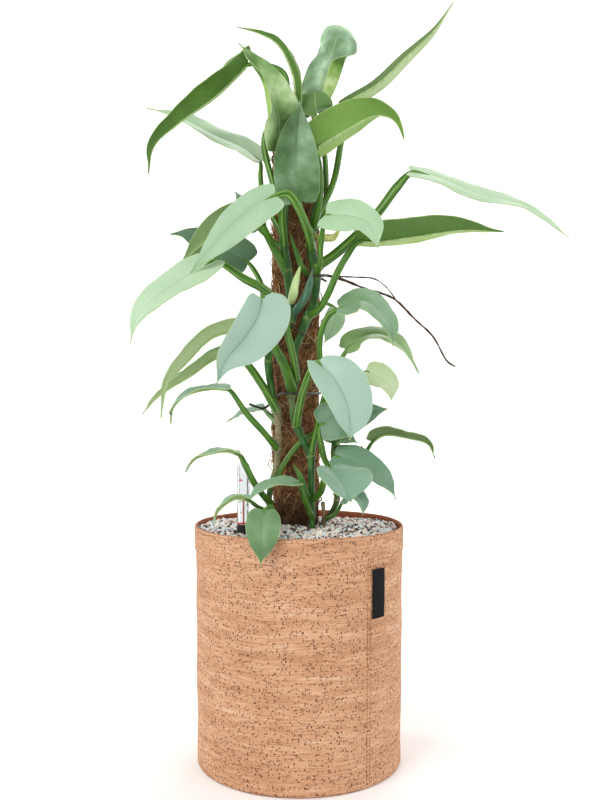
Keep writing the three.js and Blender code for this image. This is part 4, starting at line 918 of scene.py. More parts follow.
        rib=((28, 369, 24), (42, 367, 24), (56, 362, 26), (67, 356, 26)),
    ),
    leaf_36=dict(
        look="silver", half=12, fold=12, bloom=0.78, thick=2.2, face=(0.3, 0.2, 0.9),
        stalk=((12, 506, 38), (26, 516, 26)),
        rib=((43, 508, 18), (38, 490, 20), (29, 470, 22)),
    ),
    leaf_37=dict(
        look="silver", half=14, fold=12, bloom=0.5, thick=2.4, face=(0.2, 0.4, 0.85),
        stalk=((-17, 578, 36), (-32, 588, 20)),
        rib=((-46, 600, 8), (-58, 618, 6), (-73, 643, 4)),
    ),
)

# Where a side vein leaves the rib, where it meets the edge along, and how far aside, first for a
# rounded base and then for a heart-shaped one
BLADE_ROWS = np.array((
    (0.0, 0.0, 0.24, -0.07, 0.42), (0.04, -0.01, 0.58, -0.07, 0.74), (0.1, 0.045, 0.84, 0.03, 0.93),
    (0.2, 0.17, 0.99, 0.17, 1.0), (0.34, 0.34, 1.0, 0.34, 0.99), (0.5, 0.53, 0.84, 0.53, 0.84),
    (0.66, 0.715, 0.55, 0.715, 0.55), (0.82, 0.875, 0.19, 0.875, 0.19), (0.92, 0.945, 0.065, 0.945, 0.065),
    (1.0, 1.0, 0.0, 1.0, 0.0),
))
BLADE_COLUMNS = 28
BLADE_LENGTHS = 60
# A folded margin bends round this radius, over this share of the blade's length at each end
ROLL_RADIUS = 2.6
ROLL_EASE = 0.22


def eased(table, column, x):
    """A column of a table read smoothly between its rows."""
    knots, values = table[:, 0], table[:, column]
    slopes = np.gradient(values, knots)
    i = np.clip(np.searchsorted(knots, x, side="right") - 1, 0, len(knots) - 2)
    width = knots[i + 1] - knots[i]
    t = (x - knots[i]) / width
    low = values[i] * (1 + 2 * t) + slopes[i] * width * t
    high = values[i + 1] * (3 - 2 * t) - slopes[i + 1] * width * (1 - t)
    return low * (1 - t) ** 2 + high * t**2


def blade_frame(line, leaf, along):
    """The ways up from and across a blade at places along its rib."""
    t = np.clip(along, 0, 1)
    base = facing(*leaf["face"])
    tip = facing(*leaf.get("tip_face", leaf["face"]))
    way = line.way(t)
    up = base + (tip - base) * t[:, None]
    up = unit(up - way * (up * way).sum(1, keepdims=True))
    return up, np.cross(way, up)


def half_of(leaf, aside):
    """Half the width of a blade on the side that aside names. A pair is left and right of the rib."""
    half = leaf["half"]
    if isinstance(half, tuple):
        return np.where(aside < 0, half[0], half[1])
    return np.full_like(aside, half)


def vein_lean(line, leaf):
    """How far along the blade a side vein runs before it meets the edge, as a share of the length."""
    half = np.mean(leaf["half"])
    return min(0.21, 1.2 * half / line.length)


def blade_points(line, leaf, u, v):
    """The middle surface of a blade: u runs from edge to edge and v from base to tip."""
    aside = 2 * u - 1
    start = 0.3 * v**2 + 0.7 * v
    reach = np.abs(aside)
    heart = leaf.get("heart", 0.3)
    meets = (1 - heart) * eased(BLADE_ROWS, 1, start) + heart * eased(BLADE_ROWS, 3, start)
    broad = start ** leaf.get("blunt", 1)
    width = (1 - heart) * eased(BLADE_ROWS, 2, broad) + heart * eased(BLADE_ROWS, 4, broad)
    along = start + (meets - start) * reach
    edge = np.maximum(width, 0)
    along = along + leaf.get("slant", 0) * aside * (1 - start)
    half = half_of(leaf, aside)
    fold = math.radians(leaf["fold"])
    out = edge * half * reach
    up, side = blade_frame(line, leaf, along)
    wave = leaf.get("wave", 1.0) * np.sin(along * 13 + aside * 2 + half) * reach**2
    ruffle = 0.25 * np.sin(along * 41 + np.sign(aside) + half) * reach**3
    deep = 0.16 * min(1, np.mean(leaf["half"]) / 20)
    furrow = deep * np.cos((start - vein_lean(line, leaf) * reach) * VEIN_WAVE)
    furrow = furrow * np.sqrt(reach * (1 - reach))
    valley = 1.3 - 0.3 * reach
    lift = out * math.sin(fold) * valley + wave + ruffle + furrow
    gutter = -0.5 * np.exp(-((out / 1.6) ** 2))
    across = out * math.cos(fold)
    curled = out
    if "roll" in leaf:
        # One margin folds over between two shares of the length, by an angle, beyond a share of the
        # width. The folded margin may be broader than the rest, and it leaves the curl where it folds
        which, first, last, angle, beyond, broader = leaf["roll"]
        ends = 1 - soft_step(last - ROLL_EASE, last, along)
        folds = soft_step(first, first + ROLL_EASE, along) * ends
        folds = np.where(np.sign(aside) == which, folds, 0)
        past = np.maximum(out - beyond * edge * half, 0)
        margin = past * (1 + broader * folds)
        turn = np.minimum(margin / ROLL_RADIUS, angle * folds)
        rest = margin - ROLL_RADIUS * turn
        across = across + ROLL_RADIUS * np.sin(turn) + rest * np.cos(turn) - past
        lift = lift + ROLL_RADIUS * (1 - np.cos(turn)) + rest * np.sin(turn)
        curled = out - past * folds
    lift = lift - leaf.get("curl", 0.1) * half * (curled / half) ** 2
    return (
        line.at(along) + side * (np.sign(aside) * across)[:, None] + up * (lift + gutter)[:, None]
    )


def make_blade(name, line, leaf):
    """A blade of even thickness with its own upper skin, under skin and edge."""
    blade = laid(name, BLADE_COLUMNS, BLADE_LENGTHS, lambda u, v: blade_points(line, leaf, u, v))
    edit_all(bpy.ops.mesh.remove_doubles, threshold=2e-5)
    for _ in range(3):
        blade.data.materials.append(None)
    apply_modifier(
        blade, "SOLIDIFY", thickness=BLADE_THICKNESS * MM, offset=0.0, material_offset=1,
        material_offset_rim=2, use_even_offset=False,
    )
    # A bloom pair gives each half its own share, and the lower one is painted shade on the half turned from
    # the light
    bloom = leaf["bloom"]
    left, right = bloom if isinstance(bloom, tuple) else (bloom, bloom)
    count = len(blade.data.vertices)
    kept = {
        "bloom_left": left,
        "bloom_right": right,
        "mottle": leaf.get("mottle", 0.18),
        "lean": 2 * vein_lean(line, leaf),
    }
    for name, value in kept.items():
        keep_value(blade, name, np.full(count, value))
    return blade


def make_stalk(name, line, leaf):
    """The stalk from its vine to the blade, with a shallow gutter along its upper side."""
    up, _ = blade_frame(line, leaf, np.array([0.0, 0.1]))
    places = [seen(*point) for point in leaf["stalk"]]
    places.append(line.at(0.0) - up[0])
    places.append(line.at(0.1) - up[1] * 0.9)
    thick = leaf["thick"]
    widths = [thick * 1.3] + [thick] * (len(places) - 3) + [min(thick * 0.75, 3), 1.2]
    path = SmoothLine(places)

    def radius(turn, share):
        gutter = 0.22 * np.exp(-(((turn + math.pi) % (2 * math.pi) - math.pi) / 0.55) ** 2)
        swell = 1 + 0.04 * np.sin(share * 9 + thick)
        return path.value(widths, share) * (1 - gutter) * swell

    return tube(name, path, radius, sides=14, rows=44, up=tuple(up[0]))


def make_rib(name, line, leaf):
    """The raised rib on the under side, which thins out towards the tip."""
    shares = np.linspace(0.03, 0.93, 14)
    up, _ = blade_frame(line, leaf, shares)
    thick = min(leaf["thick"] * 0.42, 1.6)
    widths = thick * (1 - shares) ** 0.8 + 0.28
    path = SmoothLine(line.at(shares) - up * (widths * 0.75 + 0.3)[:, None])
    return tube(name, path, lambda turn, share: path.value(widths, share), sides=8, rows=36)


class PlanterSettings(PropertyGroup):
    """Sizes and colours of the sewn planter"""

    hem: FloatProperty(
        name="Hem depth", description="How far the turned hem reaches below the rim",
        default=0.0285, min=0.01, max=0.06, unit="LENGTH",
    )
    stitch: FloatProperty(
        name="Stitch length", description="Length of one stitch with its gap",
        default=0.0042, min=0.002, max=0.01, unit="LENGTH",
    )
    seam_turn: FloatProperty(
        name="Seam place", description="How far round to the right of the front the side seam runs",
        default=math.radians(38.9), subtype="ANGLE",
    )
    cork: FloatVectorProperty(
        name="Cork colour", description="Main colour of the cork fabric",
        subtype="COLOR", size=4, min=0, max=1, default=linear("#d9a680"),
    )
    thread: FloatVectorProperty(
        name="Thread colour", description="Colour of the sewing thread",
        subtype="COLOR", size=4, min=0, max=1, default=linear("#b0743f"),
    )


class BedSettings(PropertyGroup):
    """Sizes of the granules in the planter"""

    crown: FloatProperty(
        name="Crown height", description="Height of the bed at the pole",
        default=0.266, min=0.2, max=0.28, unit="LENGTH",
    )
    granule: FloatProperty(
        name="Granule size", description="Mean size of a granule",
        default=0.0051, min=0.002, max=0.01, unit="LENGTH",
    )


class PoleSettings(PropertyGroup):
    """Make of the coir pole"""

    fibres: IntProperty(
        name="Fibres", description="Number of loose fibres on the pole",
        default=4200, min=100, max=6000,
    )
    loose: FloatProperty(
        name="Looseness", description="How far the wildest fibres stand off",
        default=0.007, min=0.0, max=0.02, unit="LENGTH",
    )


class GaugeSettings(PropertyGroup):
    """Sizes of the water gauge's marks"""

    band: FloatProperty(
        name="Mark height", description="Height of the red mark at the tube's foot",
        default=0.0018, min=0.0005, max=0.005, unit="LENGTH",
    )


class PlantSettings(PropertyGroup):
    """Fineness of the plant"""

    scar: FloatProperty(
        name="Scar width", description="Width of the ring at each node of a stem",
        default=0.0011, min=0.0005, max=0.006, unit="LENGTH",
    )


class StudioSettings(PropertyGroup):
    """Light and floor"""

    key: FloatProperty(
        name="Key light", description="Power of the large light in watts",
        default=40.0, min=0.0, max=2000.0,
    )
    sky: FloatProperty(
        name="Room light", description="Strength of the white room light",
        default=0.56, min=0.0, max=5.0,
    )
    floor: FloatVectorProperty(
        name="Paper colour", description="Colour of the seamless paper",
        subtype="COLOR", size=4, min=0, max=1, default=linear("#fbfbfa"),
    )


def cover_radius(z):
    """Outer radius of the cover's straight wall at a height."""
    return FOOT_RADIUS + (RIM_RADIUS - FOOT_RADIUS) * (z - 2) / (PLANTER_HEIGHT - 3)


def shape_points(piece, shape):
    """Moves each vertex in or out and up. shape(turn, radius, z) gives radius and z."""
    points = points_of(piece)
    turn = np.arctan2(points[:, 0], -points[:, 1])
    radius, z = shape(turn, np.hypot(points[:, 0], points[:, 1]), points[:, 2])
    place_points(piece, np.stack([radius * np.sin(turn), -radius * np.cos(turn), z], -1))


def stitch_shape():
    """One stitch: a short thread that dives at both ends."""
    piece = start_piece(
        "stitch", bpy.ops.mesh.primitive_cylinder_add, vertices=6, radius=0.5 * MM, depth=1 * MM,
        end_fill_type="TRIFAN",
    )
    for height in (0.22, -0.22):
        edit_all(bpy.ops.mesh.bisect, plane_co=(0, 0, height * MM), plane_no=(0, 0, 1))
    return template(piece)


class PHILODENDRON_OT_planter(Operator):
    """Sew the cork fabric cover, its stitches, the liner and the bare label"""

    bl_idname = "philodendron.planter"
    bl_label = "Planter"

    def execute(self, context):
        settings = context.scene.philodendron_planter
        self.cover(settings)
        self.stitches(settings)
        self.liner()
        self.label()
        return {"FINISHED"}

    def cover(self, settings):
        """The cover with its base and rim, a little slack, and thicker at its hem and its seam."""
        hem = settings.hem / MM
        top = PLANTER_HEIGHT
        heights = (*np.arange(5, top - hem - 3, 5), *np.arange(top - hem - 3, top - 4, 1.5))
        outside = [(FOOT_RADIUS - inset, z) for inset, z in ((6, 0), (2.4, 0), (0.8, 0.5), (0.1, 1.7))]
        outside += [(cover_radius(z), z) for z in heights]
        rim = [
            (RIM_RADIUS - 0.05, top - 2.2), (RIM_RADIUS - 0.5, top - 0.6), (RIM_RADIUS - 1.3, top),
            (RIM_RADIUS - 2.1, top - 0.6), (RIM_RADIUS - COVER_WALL, top - 2.2),
        ]
        inside = [(cover_radius(z) - COVER_WALL, z) for z in np.arange(top - 6, 20, -12)]
        inside += [(FOOT_RADIUS - COVER_WALL, 5), (FOOT_RADIUS - COVER_WALL - 2, COVER_WALL)]
        cover = turned("cork_fabric_cover", outside + rim + inside, sides=192)

        def shape(turn, radius, z):
            outer = radius > cover_radius(z) - 1.2
            slack = 0.35 * lumps(turn * RIM_RADIUS, z, 30) + 0.12 * lumps(turn * RIM_RADIUS, z, 9)
            pull = 0.5 * np.exp(-(((z - top + hem + 1) / 1.6) ** 2))
            bulge = 0.9 * soft_step(top - hem - 0.5, top - hem + 2, z) - pull
            lap = 0.5 * np.exp(-(((turn - settings.seam_turn) * RIM_RADIUS / 3) ** 2))
            walls = soft_step(1, 12, z)
            wavy = 0.35 * np.sin(turn * 3 + 1) + 0.2 * np.sin(turn * 7)
            lift = np.where(z > top - 8, wavy * soft_step(top - 8, top, z), 0)
            moved = radius + walls * np.where(outer, slack + bulge - 0.35 + lap, slack * 0.3)
            return moved, z + lift

        # How far each vertex lies within the wall, which sets the painted shade inside the rim
        points = points_of(cover)
        depth = cover_radius(points[:, 2]) - np.hypot(points[:, 0], points[:, 1])
        keep_value(cover, "inside", np.clip(depth / COVER_WALL, 0, 1))
        shape_points(cover, shape)
        smooth(cover, 50)
        finish_piece(cover, "planter", ["planter_cover"], [cork_fabric(settings)])

    def stitches(self, settings):
        """Two rows of stitches round the hem, and one on each side of the seam."""
        shape = stitch_shape()
        top = PLANTER_HEIGHT
        pitch = settings.stitch / MM
        length = pitch * 0.72
        copies = []

        def stitch(turn, z, radius, upright):
            def lay(points):
                along = points[:, 2] * length
                across = points[:, 0] * 0.85
                out = points[:, 1] * 0.45 + 0.12 - 0.9 * points[:, 2] ** 2
                if upright:
                    around, height = across, along
                else:
                    around, height = along, across
                angle = turn + around / radius
                far = radius + out
                return np.stack([far * np.sin(angle), -far * np.cos(angle), z + height], -1)

            return (0, lay, 0.5)

        for height, bulge in ((top - settings.hem / MM + 1.6, 0.15), (top - 4.2, 0.55)):
            count = int(2 * math.pi * RIM_RADIUS / pitch)
            for i in range(count):
                turn = 2 * math.pi * i / count
                sway = 0.25 * math.sin(turn * 5)
                copies.append(stitch(turn, height + sway, cover_radius(height) + bulge, False))
        for side in (-2.1, 2.1):
            for i in range(int((top - 14) / pitch)):
                z = 6 + i * pitch
                bulge = 0.55 * float(soft_step(top - 30, top - 25, z))
                turn = settings.seam_turn + side / RIM_RADIUS
                copies.append(stitch(turn, z, cover_radius(z) + bulge + 0.1, True))
        seam = repeated("planter_stitches", [shape], copies)
        smooth(seam, 60)
        finish_piece(seam, "planter", (), [sewing_thread(settings)])

    def liner(self):
        """The liner, whose rim waves and tilts."""
        outer = RIM_RADIUS - COVER_WALL - 0.35
        inner = outer - 1.4
        top = PLANTER_HEIGHT - 2.5
        heights = (top - 18, top - 10, top - 5, top)
        profile = [(outer - 2, 3), (outer - 1, 60), *((outer, z) for z in heights)]
        profile += [*((inner, z) for z in reversed(heights)), (inner - 1, 60), (inner - 2, 4.4)]
        liner = turned("grey_liner", profile, sides=144)

        def shape(turn, radius, z):
            share = soft_step(top - 20, top, z)
            tilt = 6.5 * np.cos(turn + 0.6) - 4.5
            wavy = 0.9 * np.sin(turn * 4 + 0.5) + 0.5 * np.sin(turn * 9)
            return radius, z + share * (tilt + wavy)

        shape_points(liner, shape)
        smooth(liner, 40)
        finish_piece(liner, "planter", ["inner_liner"], [liner_sheet()])

    def label(self):
        """A bare strip that is sewn on beside the seam."""
        low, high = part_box("label_tag")
        foot, top = low.z / MM, high.z / MM
        middle = math.radians(45.4)
        width = 19

        def place(u, v):
            z = foot + (top - foot) * v
            angle = middle + (u - 0.5) * width / RIM_RADIUS
            swell = 0.25 * np.sin(v * math.pi) + 0.1 * np.sin(u * 5 + v * 9)
            far = cover_radius(z) + 0.55 + swell
            return np.stack([far * np.sin(angle), -far * np.cos(angle), z], -1)

        label = laid("bare_label", 16, 40, place)
        apply_modifier(label, "SOLIDIFY", thickness=0.7 * MM, offset=1.0)
        apply_modifier(label, "BEVEL", width=0.2 * MM, segments=2, limit_method="ANGLE")
        edit_all(bpy.ops.mesh.normals_make_consistent, inside=False)
        smooth(label, 40)
        finish_piece(label, "planter", ["label_tag"], [woven_label()])


def bed_height(x, y, crown):
    """Height of the granule bed: crowned at the pole, and lower along the back."""
    out = np.hypot(x, y) / BED_RADIUS
    return crown - 4 * out**2 - 9 * np.clip(y / BED_RADIUS, 0, 1) ** 2


# Shapes of crushed stone, of which the first are rounded
STONES = 14
ROUNDED_STONES = 6
# How far apart rows of granules lie, as a share of their pitch
ROW_SHARE = 0.866


class PHILODENDRON_OT_bed(Operator):
    """Pour the mineral granules round the stems, the pole and the gauge"""

    bl_idname = "philodendron.bed"
    bl_label = "Granules"

    def execute(self, context):
        settings = context.scene.philodendron_bed
        draw = random.Random(5)
        crown = settings.crown / MM
        size = settings.granule / MM
        grit = mineral_grit()
        shapes = [self.stone(draw, number) for number in range(STONES)]
        copies = []
        pitch = size * 0.86
        for layer, (sink, keep) in enumerate(((3.4, 1.0), (1.2, 0.92))):
            rows = int(BED_RADIUS / (pitch * ROW_SHARE)) + 1
            for row in range(-rows, rows + 1):
                for column in range(-rows - 8, rows + 9):
                    x = (column + 0.5 * (row % 2) + 0.35 * layer) * pitch + draw.uniform(-0.3, 0.3) * pitch
                    y = row * pitch * ROW_SHARE + 0.3 * layer * pitch + draw.uniform(-0.3, 0.3) * pitch
                    grow = draw.choice((0.72, 0.85, 1.0, 1.0, 1.12, 1.3)) * draw.uniform(0.9, 1.1)
                    place = (x, y, sink, draw.random(), grow, draw.random())
                    if draw.random() < keep and self.is_free(x, y, size * grow / 2):
                        copies.append(self.granule(draw, place, size, crown))
        bed = repeated("mineral_granules", shapes, copies)
        finish_piece(bed, "planter", (), [grit])
        self.under_bed(crown)
        return {"FINISHED"}

    def under_bed(self, crown):
        """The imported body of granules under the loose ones."""
        rings = (0.95, 0.85, 0.75, 0.65, 0.55, 0.45, 0.35, 0.25, 0.12)
        profile = [(110, 6), (BED_RADIUS - 1.2, 200), (BED_RADIUS - 0.4, 252)]
        profile += [(BED_RADIUS * part, 258) for part in rings]
        body = turned("packed_granules", profile, sides=96)
        points = points_of(body)
        top = points[:, 2] > 251
        height = bed_height(points[:, 0], points[:, 1], crown) - 4.2
        points[:, 2] = np.where(top, height, points[:, 2])
        place_points(body, points)
        smooth(body)
        keep_value(body, "tone", np.full(len(points), 0.85))
        finish_piece(
            body, "planter", ["granules"],
            [plain_skin("mineral_granules_in_shade", "#2c2422", "#5f534d", 4, 0.95, 0.001, 0.8)],
        )

    def stone(self, draw, number):
        """One crushed stone: points flung round a ball and wrapped tight."""
        is_round = number < ROUNDED_STONES
        piece = start_piece(
            "stone", bpy.ops.mesh.primitive_ico_sphere_add, subdivisions=2 if is_round else 1,
            radius=0.5 * MM,
        )
        points = points_of(piece)
        squeeze = np.array((1.0, draw.uniform(0.7, 0.95), draw.uniform(0.6, 0.9)))
        rough = np.array([[draw.gauss(0, 0.09) for _ in range(3)] for _ in points])
        points = (points + rough * (0.5 if is_round else 1.1)) * squeeze
        place_points(piece, points)
        bpy.ops.object.mode_set(mode="EDIT")
        bpy.ops.mesh.select_all(action="SELECT")
        bpy.ops.mesh.convex_hull()
        bpy.ops.mesh.select_all(action="SELECT")
        bpy.ops.mesh.dissolve_limited(angle_limit=math.radians(20))
        bpy.ops.object.mode_set(mode="OBJECT")
        return template(piece)

    def is_free(self, x, y, room):
        """Whether a granule there clears the wall, the pole, the stems and the gauge."""
        if math.hypot(x, y) > BED_RADIUS - room * 0.9:
            return False
        taken = (
            (POLE_X, 0, POLE_RADIUS), (GAUGE_X, GAUGE_Y, SLEEVE_RADIUS),
            (-31, -33, 6.5), (14.5, -38, 6.5), (25, -20, 5),
        )
        return all(math.hypot(x - px, y - py) > radius + room * 0.75 for px, py, radius in taken)

    def granule(self, draw, place, size, crown):
        """One copy of a stone, turned at random, at its place in the bed."""
        x, y, sink, tone, grow, pick = place
        turn = np.array([draw.gauss(0, 1) for _ in range(4)])
        w, a, b, c = turn / np.linalg.norm(turn)
        spin = np.array((
            (1 - 2 * (b * b + c * c), 2 * (a * b - c * w), 2 * (a * c + b * w)),
            (2 * (a * b + c * w), 1 - 2 * (a * a + c * c), 2 * (b * c - a * w)),
            (2 * (a * c - b * w), 2 * (b * c + a * w), 1 - 2 * (a * a + b * b)),
        ))
        middle = np.array((x, y, bed_height(x, y, crown) - sink + draw.uniform(-0.5, 0.9)))
        # Cream stones are rounded pumice, the others are split
        split = STONES - ROUNDED_STONES
        number = int(pick * ROUNDED_STONES) if tone < 0.42 else ROUNDED_STONES + int(pick * split)
        return (number, lambda points: points @ spin.T * size * grow + middle, tone)


class PHILODENDRON_OT_gauge(Operator):
    """Turn the water gauge: black sleeve, clear tube with its marks, and the red float"""

    bl_idname = "philodendron.gauge"
    bl_label = "Water gauge"

    def execute(self, context):
        settings = context.scene.philodendron_gauge
        middle = {"x": GAUGE_X, "y": GAUGE_Y}
        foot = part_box("gauge_sleeve")[0].z / MM
        black = plain_skin("abs_black_moulded", "#141416", "#1e1f21", 1.5, 0.32, 0.0001, 0.3)
        red = plain_skin("polystyrene_red_moulded", "#e8241e", "#f6463c", 3, 0.35, 0.0001, 0.2)
        ink = plain_skin("pad_print_red_ink", "#c9201d", "#dd3a33", 1, 0.5, 0.0001, 0.2)
        sleeve = turned("gauge_black_sleeve", [
            (4, foot), (6.8, foot), (SLEEVE_RADIUS, foot + 0.8), (SLEEVE_RADIUS, SLEEVE_TOP - 8),
            (SLEEVE_RADIUS, SLEEVE_TOP - 1), (7.0, SLEEVE_TOP - 0.2), (6.6, SLEEVE_TOP),
            (5.9, SLEEVE_TOP), (5.7, SLEEVE_TOP - 0.3), (5.7, foot + 2), (2, foot + 2),
        ], sides=48, **middle)
        smooth(sleeve, 50)
        finish_piece(sleeve, "planter", ["gauge_sleeve"], [black])
        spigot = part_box("gauge_tube")[0].z / MM
        shoulder = SLEEVE_TOP + 0.35
        rise = np.linspace(0.1, 1.45, 8)
        dome = [
            (TUBE_RADIUS * math.cos(a), TUBE_TOP - TUBE_RADIUS + TUBE_RADIUS * math.sin(a)) for a in rise
        ]
        inner = [(TUBE_BORE * math.cos(a), TUBE_TOP - 6.4 + 4.6 * math.sin(a)) for a in rise[::-1]]
        tube_piece = turned("gauge_clear_tube", [
            (TUBE_BORE, spigot), (5.3, spigot), (5.3, shoulder), (6.4, shoulder),
            (TUBE_RADIUS, shoulder + 0.5), *dome, (0.5, TUBE_TOP), (0.4, TUBE_TOP - 1.7), *inner,
            (TUBE_BORE, spigot),
        ], sides=48, ring=True, **middle)
        smooth(tube_piece, 50)
        finish_piece(tube_piece, "planter", ["gauge_tube"], [clear_plastic()])
        foot, needle = (corner.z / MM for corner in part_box("gauge_float"))
        float_piece = turned("gauge_float_and_needle", [
            (4, foot), (4.9, foot + 0.3), (5.3, foot + 1.2), (5.3, 156), (4.6, 158), (2, 160), (1.1, 163),
            (1.0, 170), (1.0, needle - 1), (0.6, needle - 0.1), (0.2, needle),
        ], sides=32, **middle)
        smooth(float_piece, 50)
        finish_piece(float_piece, "float", ["gauge_float"], [red])
        marks = [self.mark(0.0, 1.0, shoulder + 0.6, settings.band / MM)]
        strips = (319, 0.22, 0.8), (320, 0.14, 0.8), (321, 0.07, 0.8), (297, 0.1, 0.7), (285, 0.16, 0.7)
        marks += [self.mark(-0.42, width, height, depth) for height, width, depth in strips]
        printed = joined("gauge_printed_marks", marks)
        finish_piece(printed, "planter", (), [ink])
        return {"FINISHED"}

    def mark(self, turn, width, height, depth):
        """A strip of ink on the tube, width as a share of half its girth."""
        far = 6.96

        def place(u, v):
            angle = turn + (u - 0.5) * width * math.pi
            x, y = GAUGE_X + far * np.sin(angle), GAUGE_Y - far * np.cos(angle)
            return np.stack([x, y, height + v * depth], -1)

        strip = laid("mark", 14, 2, place)
        apply_modifier(strip, "SOLIDIFY", thickness=0.08 * MM, offset=0.0)
        return strip


def coir_swell(turn, z):
    """How far the coir stands out: in broad lumps, and pressed in towards the foot."""
    return 1.3 * lumps(turn * 26, z, 9) - 2.5 * (1 - soft_step(262, 310, z))


class PHILODENDRON_OT_pole(Operator):
    """Wrap the wooden core in a needled coir mat and its loose fibres"""

    bl_idname = "philodendron.pole"
    bl_label = "Coir pole"

    def execute(self, context):
        settings = context.scene.philodendron_pole
        fibre = coir_fibre()
        foot = 4.7
        bore = 11.4

        def place(u, v):
            # v runs up the outside to 0.94, over the top to 0.98 and then down into the bore
            z = foot + (POLE_TOP - foot) * np.minimum(v / 0.94, 1)
            turn = (u % 1) * 2 * math.pi
            ragged = coir_swell(turn, z) + 0.6 * lumps(turn * 26 + 40, z, 3.2)
            inward = np.clip((v - 0.94) / 0.04, 0, 1)
            down = np.clip((v - 0.98) / 0.02, 0, 1)
            radius = (POLE_RADIUS - 0.9 + ragged) * (1 - inward) + bore * inward
            z = z - 1.5 * inward - 10 * down + 0.8 * lumps(turn * 9, radius, 3) * (v > 0.9)
            return np.stack([POLE_X + radius * np.cos(turn), radius * np.sin(turn), z], -1)

        mat = laid("coir_mat", 110, 330, place, closed=True)
        points = points_of(mat)
        keep_value(mat, "tone", 0.26 + 0.14 * lumps(points[:, 0] * 2, points[:, 2], 5))
        smooth(mat, 60)
        finish_piece(mat, "planter", ["coir_pole"], [fibre])
        self.fibres(settings, fibre)
        low, high = (corner.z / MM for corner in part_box("pole_core"))
        profile = [(9, low), (10.6, low + 0.5), (10.9, 40), (10.9, high - 1), (10, high)]
        core = turned("pole_wooden_core", profile, sides=48, x=POLE_X)
        smooth(core, 40)
        finish_piece(core, "planter", ["pole_core"], [turned_wood()])
        return {"FINISHED"}

    def fibres(self, settings, fibre):
        """Loose fibres that lie on the mat at all angles, some of them bowed off it."""
        piece = start_piece(
            "fibre", bpy.ops.mesh.primitive_cylinder_add, vertices=3, radius=0.5 * MM, depth=1 * MM,
            end_fill_type="NOTHING",
        )
        for height in (-0.3, -0.1, 0.1, 0.3):
            edit_all(bpy.ops.mesh.bisect, plane_co=(0, 0, height * MM), plane_no=(0, 0, 1))
        shape = template(piece)
        draw = random.Random(11)
        copies = []
        loose = settings.loose / MM
        for _ in range(settings.fibres):
            turn = draw.uniform(0, 2 * math.pi)
            z = draw.uniform(250, POLE_TOP - 2)
            length = draw.uniform(8, 26)
            lean = draw.gauss(0.2, 0.9)
            wild = loose if draw.random() < 0.05 else 2.2
            copies.append(self.strand(draw, turn, z, length, lean, wild))
        hair = repeated("coir_loose_fibres", [shape], copies)
        finish_piece(hair, "planter", (), [fibre])

    def strand(self, draw, turn, z, length, lean, wild):
        """One fibre, bent and bowed at random, that follows the mat's swell."""
        thick = draw.uniform(0.6, 1.35)
        bow = draw.uniform(0.1, 1.0) * wild
        curve = draw.gauss(0, 0.22) * length
        sink = draw.uniform(-0.6, 0.5)
        swell = float(coir_swell(turn, z))
        tone = min(1.0, max(0.0, draw.gauss(0.5, 0.27)))

        def lay(points):
            along = points[:, 2]
            bend = curve * (along**2 - 0.25) + points[:, 0] * thick
            around = along * length * math.sin(lean) + bend * math.cos(lean)
            height = z + along * length * math.cos(lean) - bend * math.sin(lean)
            height = np.clip(height, 248, POLE_TOP + 1.5)
            arch = bow * (1 - 4 * (along - 0.2) ** 2).clip(-0.6)
            far = POLE_RADIUS - 0.4 + sink + swell + arch + points[:, 1] * thick
            angle = turn + around / POLE_RADIUS
            return np.stack([POLE_X + far * np.cos(angle), far * np.sin(angle), height], -1)

        return (0, lay, tone)


class PHILODENDRON_OT_stems(Operator):
    """Grow the three climbing stems with their nodes"""

    bl_idname = "philodendron.stems"
    bl_label = "Climbing stems"

    def execute(self, context):
        settings = context.scene.philodendron_plant
        skin = stem_skin()
        # Dry papery stretches are [height, reach, strength]
        vines = (
            ("vine_left", VINE_LEFT, ((372, 22, 0.9), (330, 18, 0.6), (280, 12, 0.3))),
            ("vine_front", VINE_FRONT, ((402, 9, 0.35), (548, 5, 0.3))),
            ("vine_right", VINE_RIGHT, ((300, 14, 0.3),)),
        )
        for name, points, dry in vines:
            stem = self.stem(settings, name + "_stem", points, dry)
            if name == "vine_right":
                twig = self.stem(settings, "dry_twig", DRY_SHOOT, ((275, 40, 1.0),))
                stem = joined(name + "_stem", [twig, stem])
            smooth(stem, 60)
            finish_piece(stem, "planter", [name], [skin])
        return {"FINISHED"}

    def stem(self, settings, name, points, dry):
        """One stem, swollen and ringed at its nodes, with its scars and its dry stretches marked."""
        line = SmoothLine([seen(*point) for point in points])
        radii = [point[3] for point in points]
        nodes = [i for i in range(1, len(radii) - 1) if radii[i - 1] < radii[i] > radii[i + 1]]
        at_node = np.interp(nodes, line.knots, line.reach)
        width = settings.scar / MM

        def ring(share):
            away = np.abs(share[..., None] * line.length - at_node)
            return np.exp(-((away / width) ** 2)).sum(-1)

        def radius(turn, share):
            grooves = 1 + 0.025 * np.sin(turn * 5 + share * 9) + 0.02 * np.sin(share * line.length / 6)
            return line.value(radii, share) * grooves + 0.4 * ring(share)

        rows = int(line.length / 1.1)
        stem = tube(name, line, radius, sides=22, rows=rows)
        made = points_of(stem)
        nearest = np.array([np.argmin(((line.places - p) ** 2).sum(1)) for p in made])
        share = line.reach[nearest] / line.length
        keep_value(stem, "scar", np.clip(ring(share), 0, 1) * 0.7)
        papery = sum(
            strength * np.exp(-(((made[:, 2] - seen(0, up, 36)[2]) / reach) ** 2))
            for up, reach, strength in dry
        )
        keep_value(stem, "papery", np.clip(papery, 0, 1))
        return stem


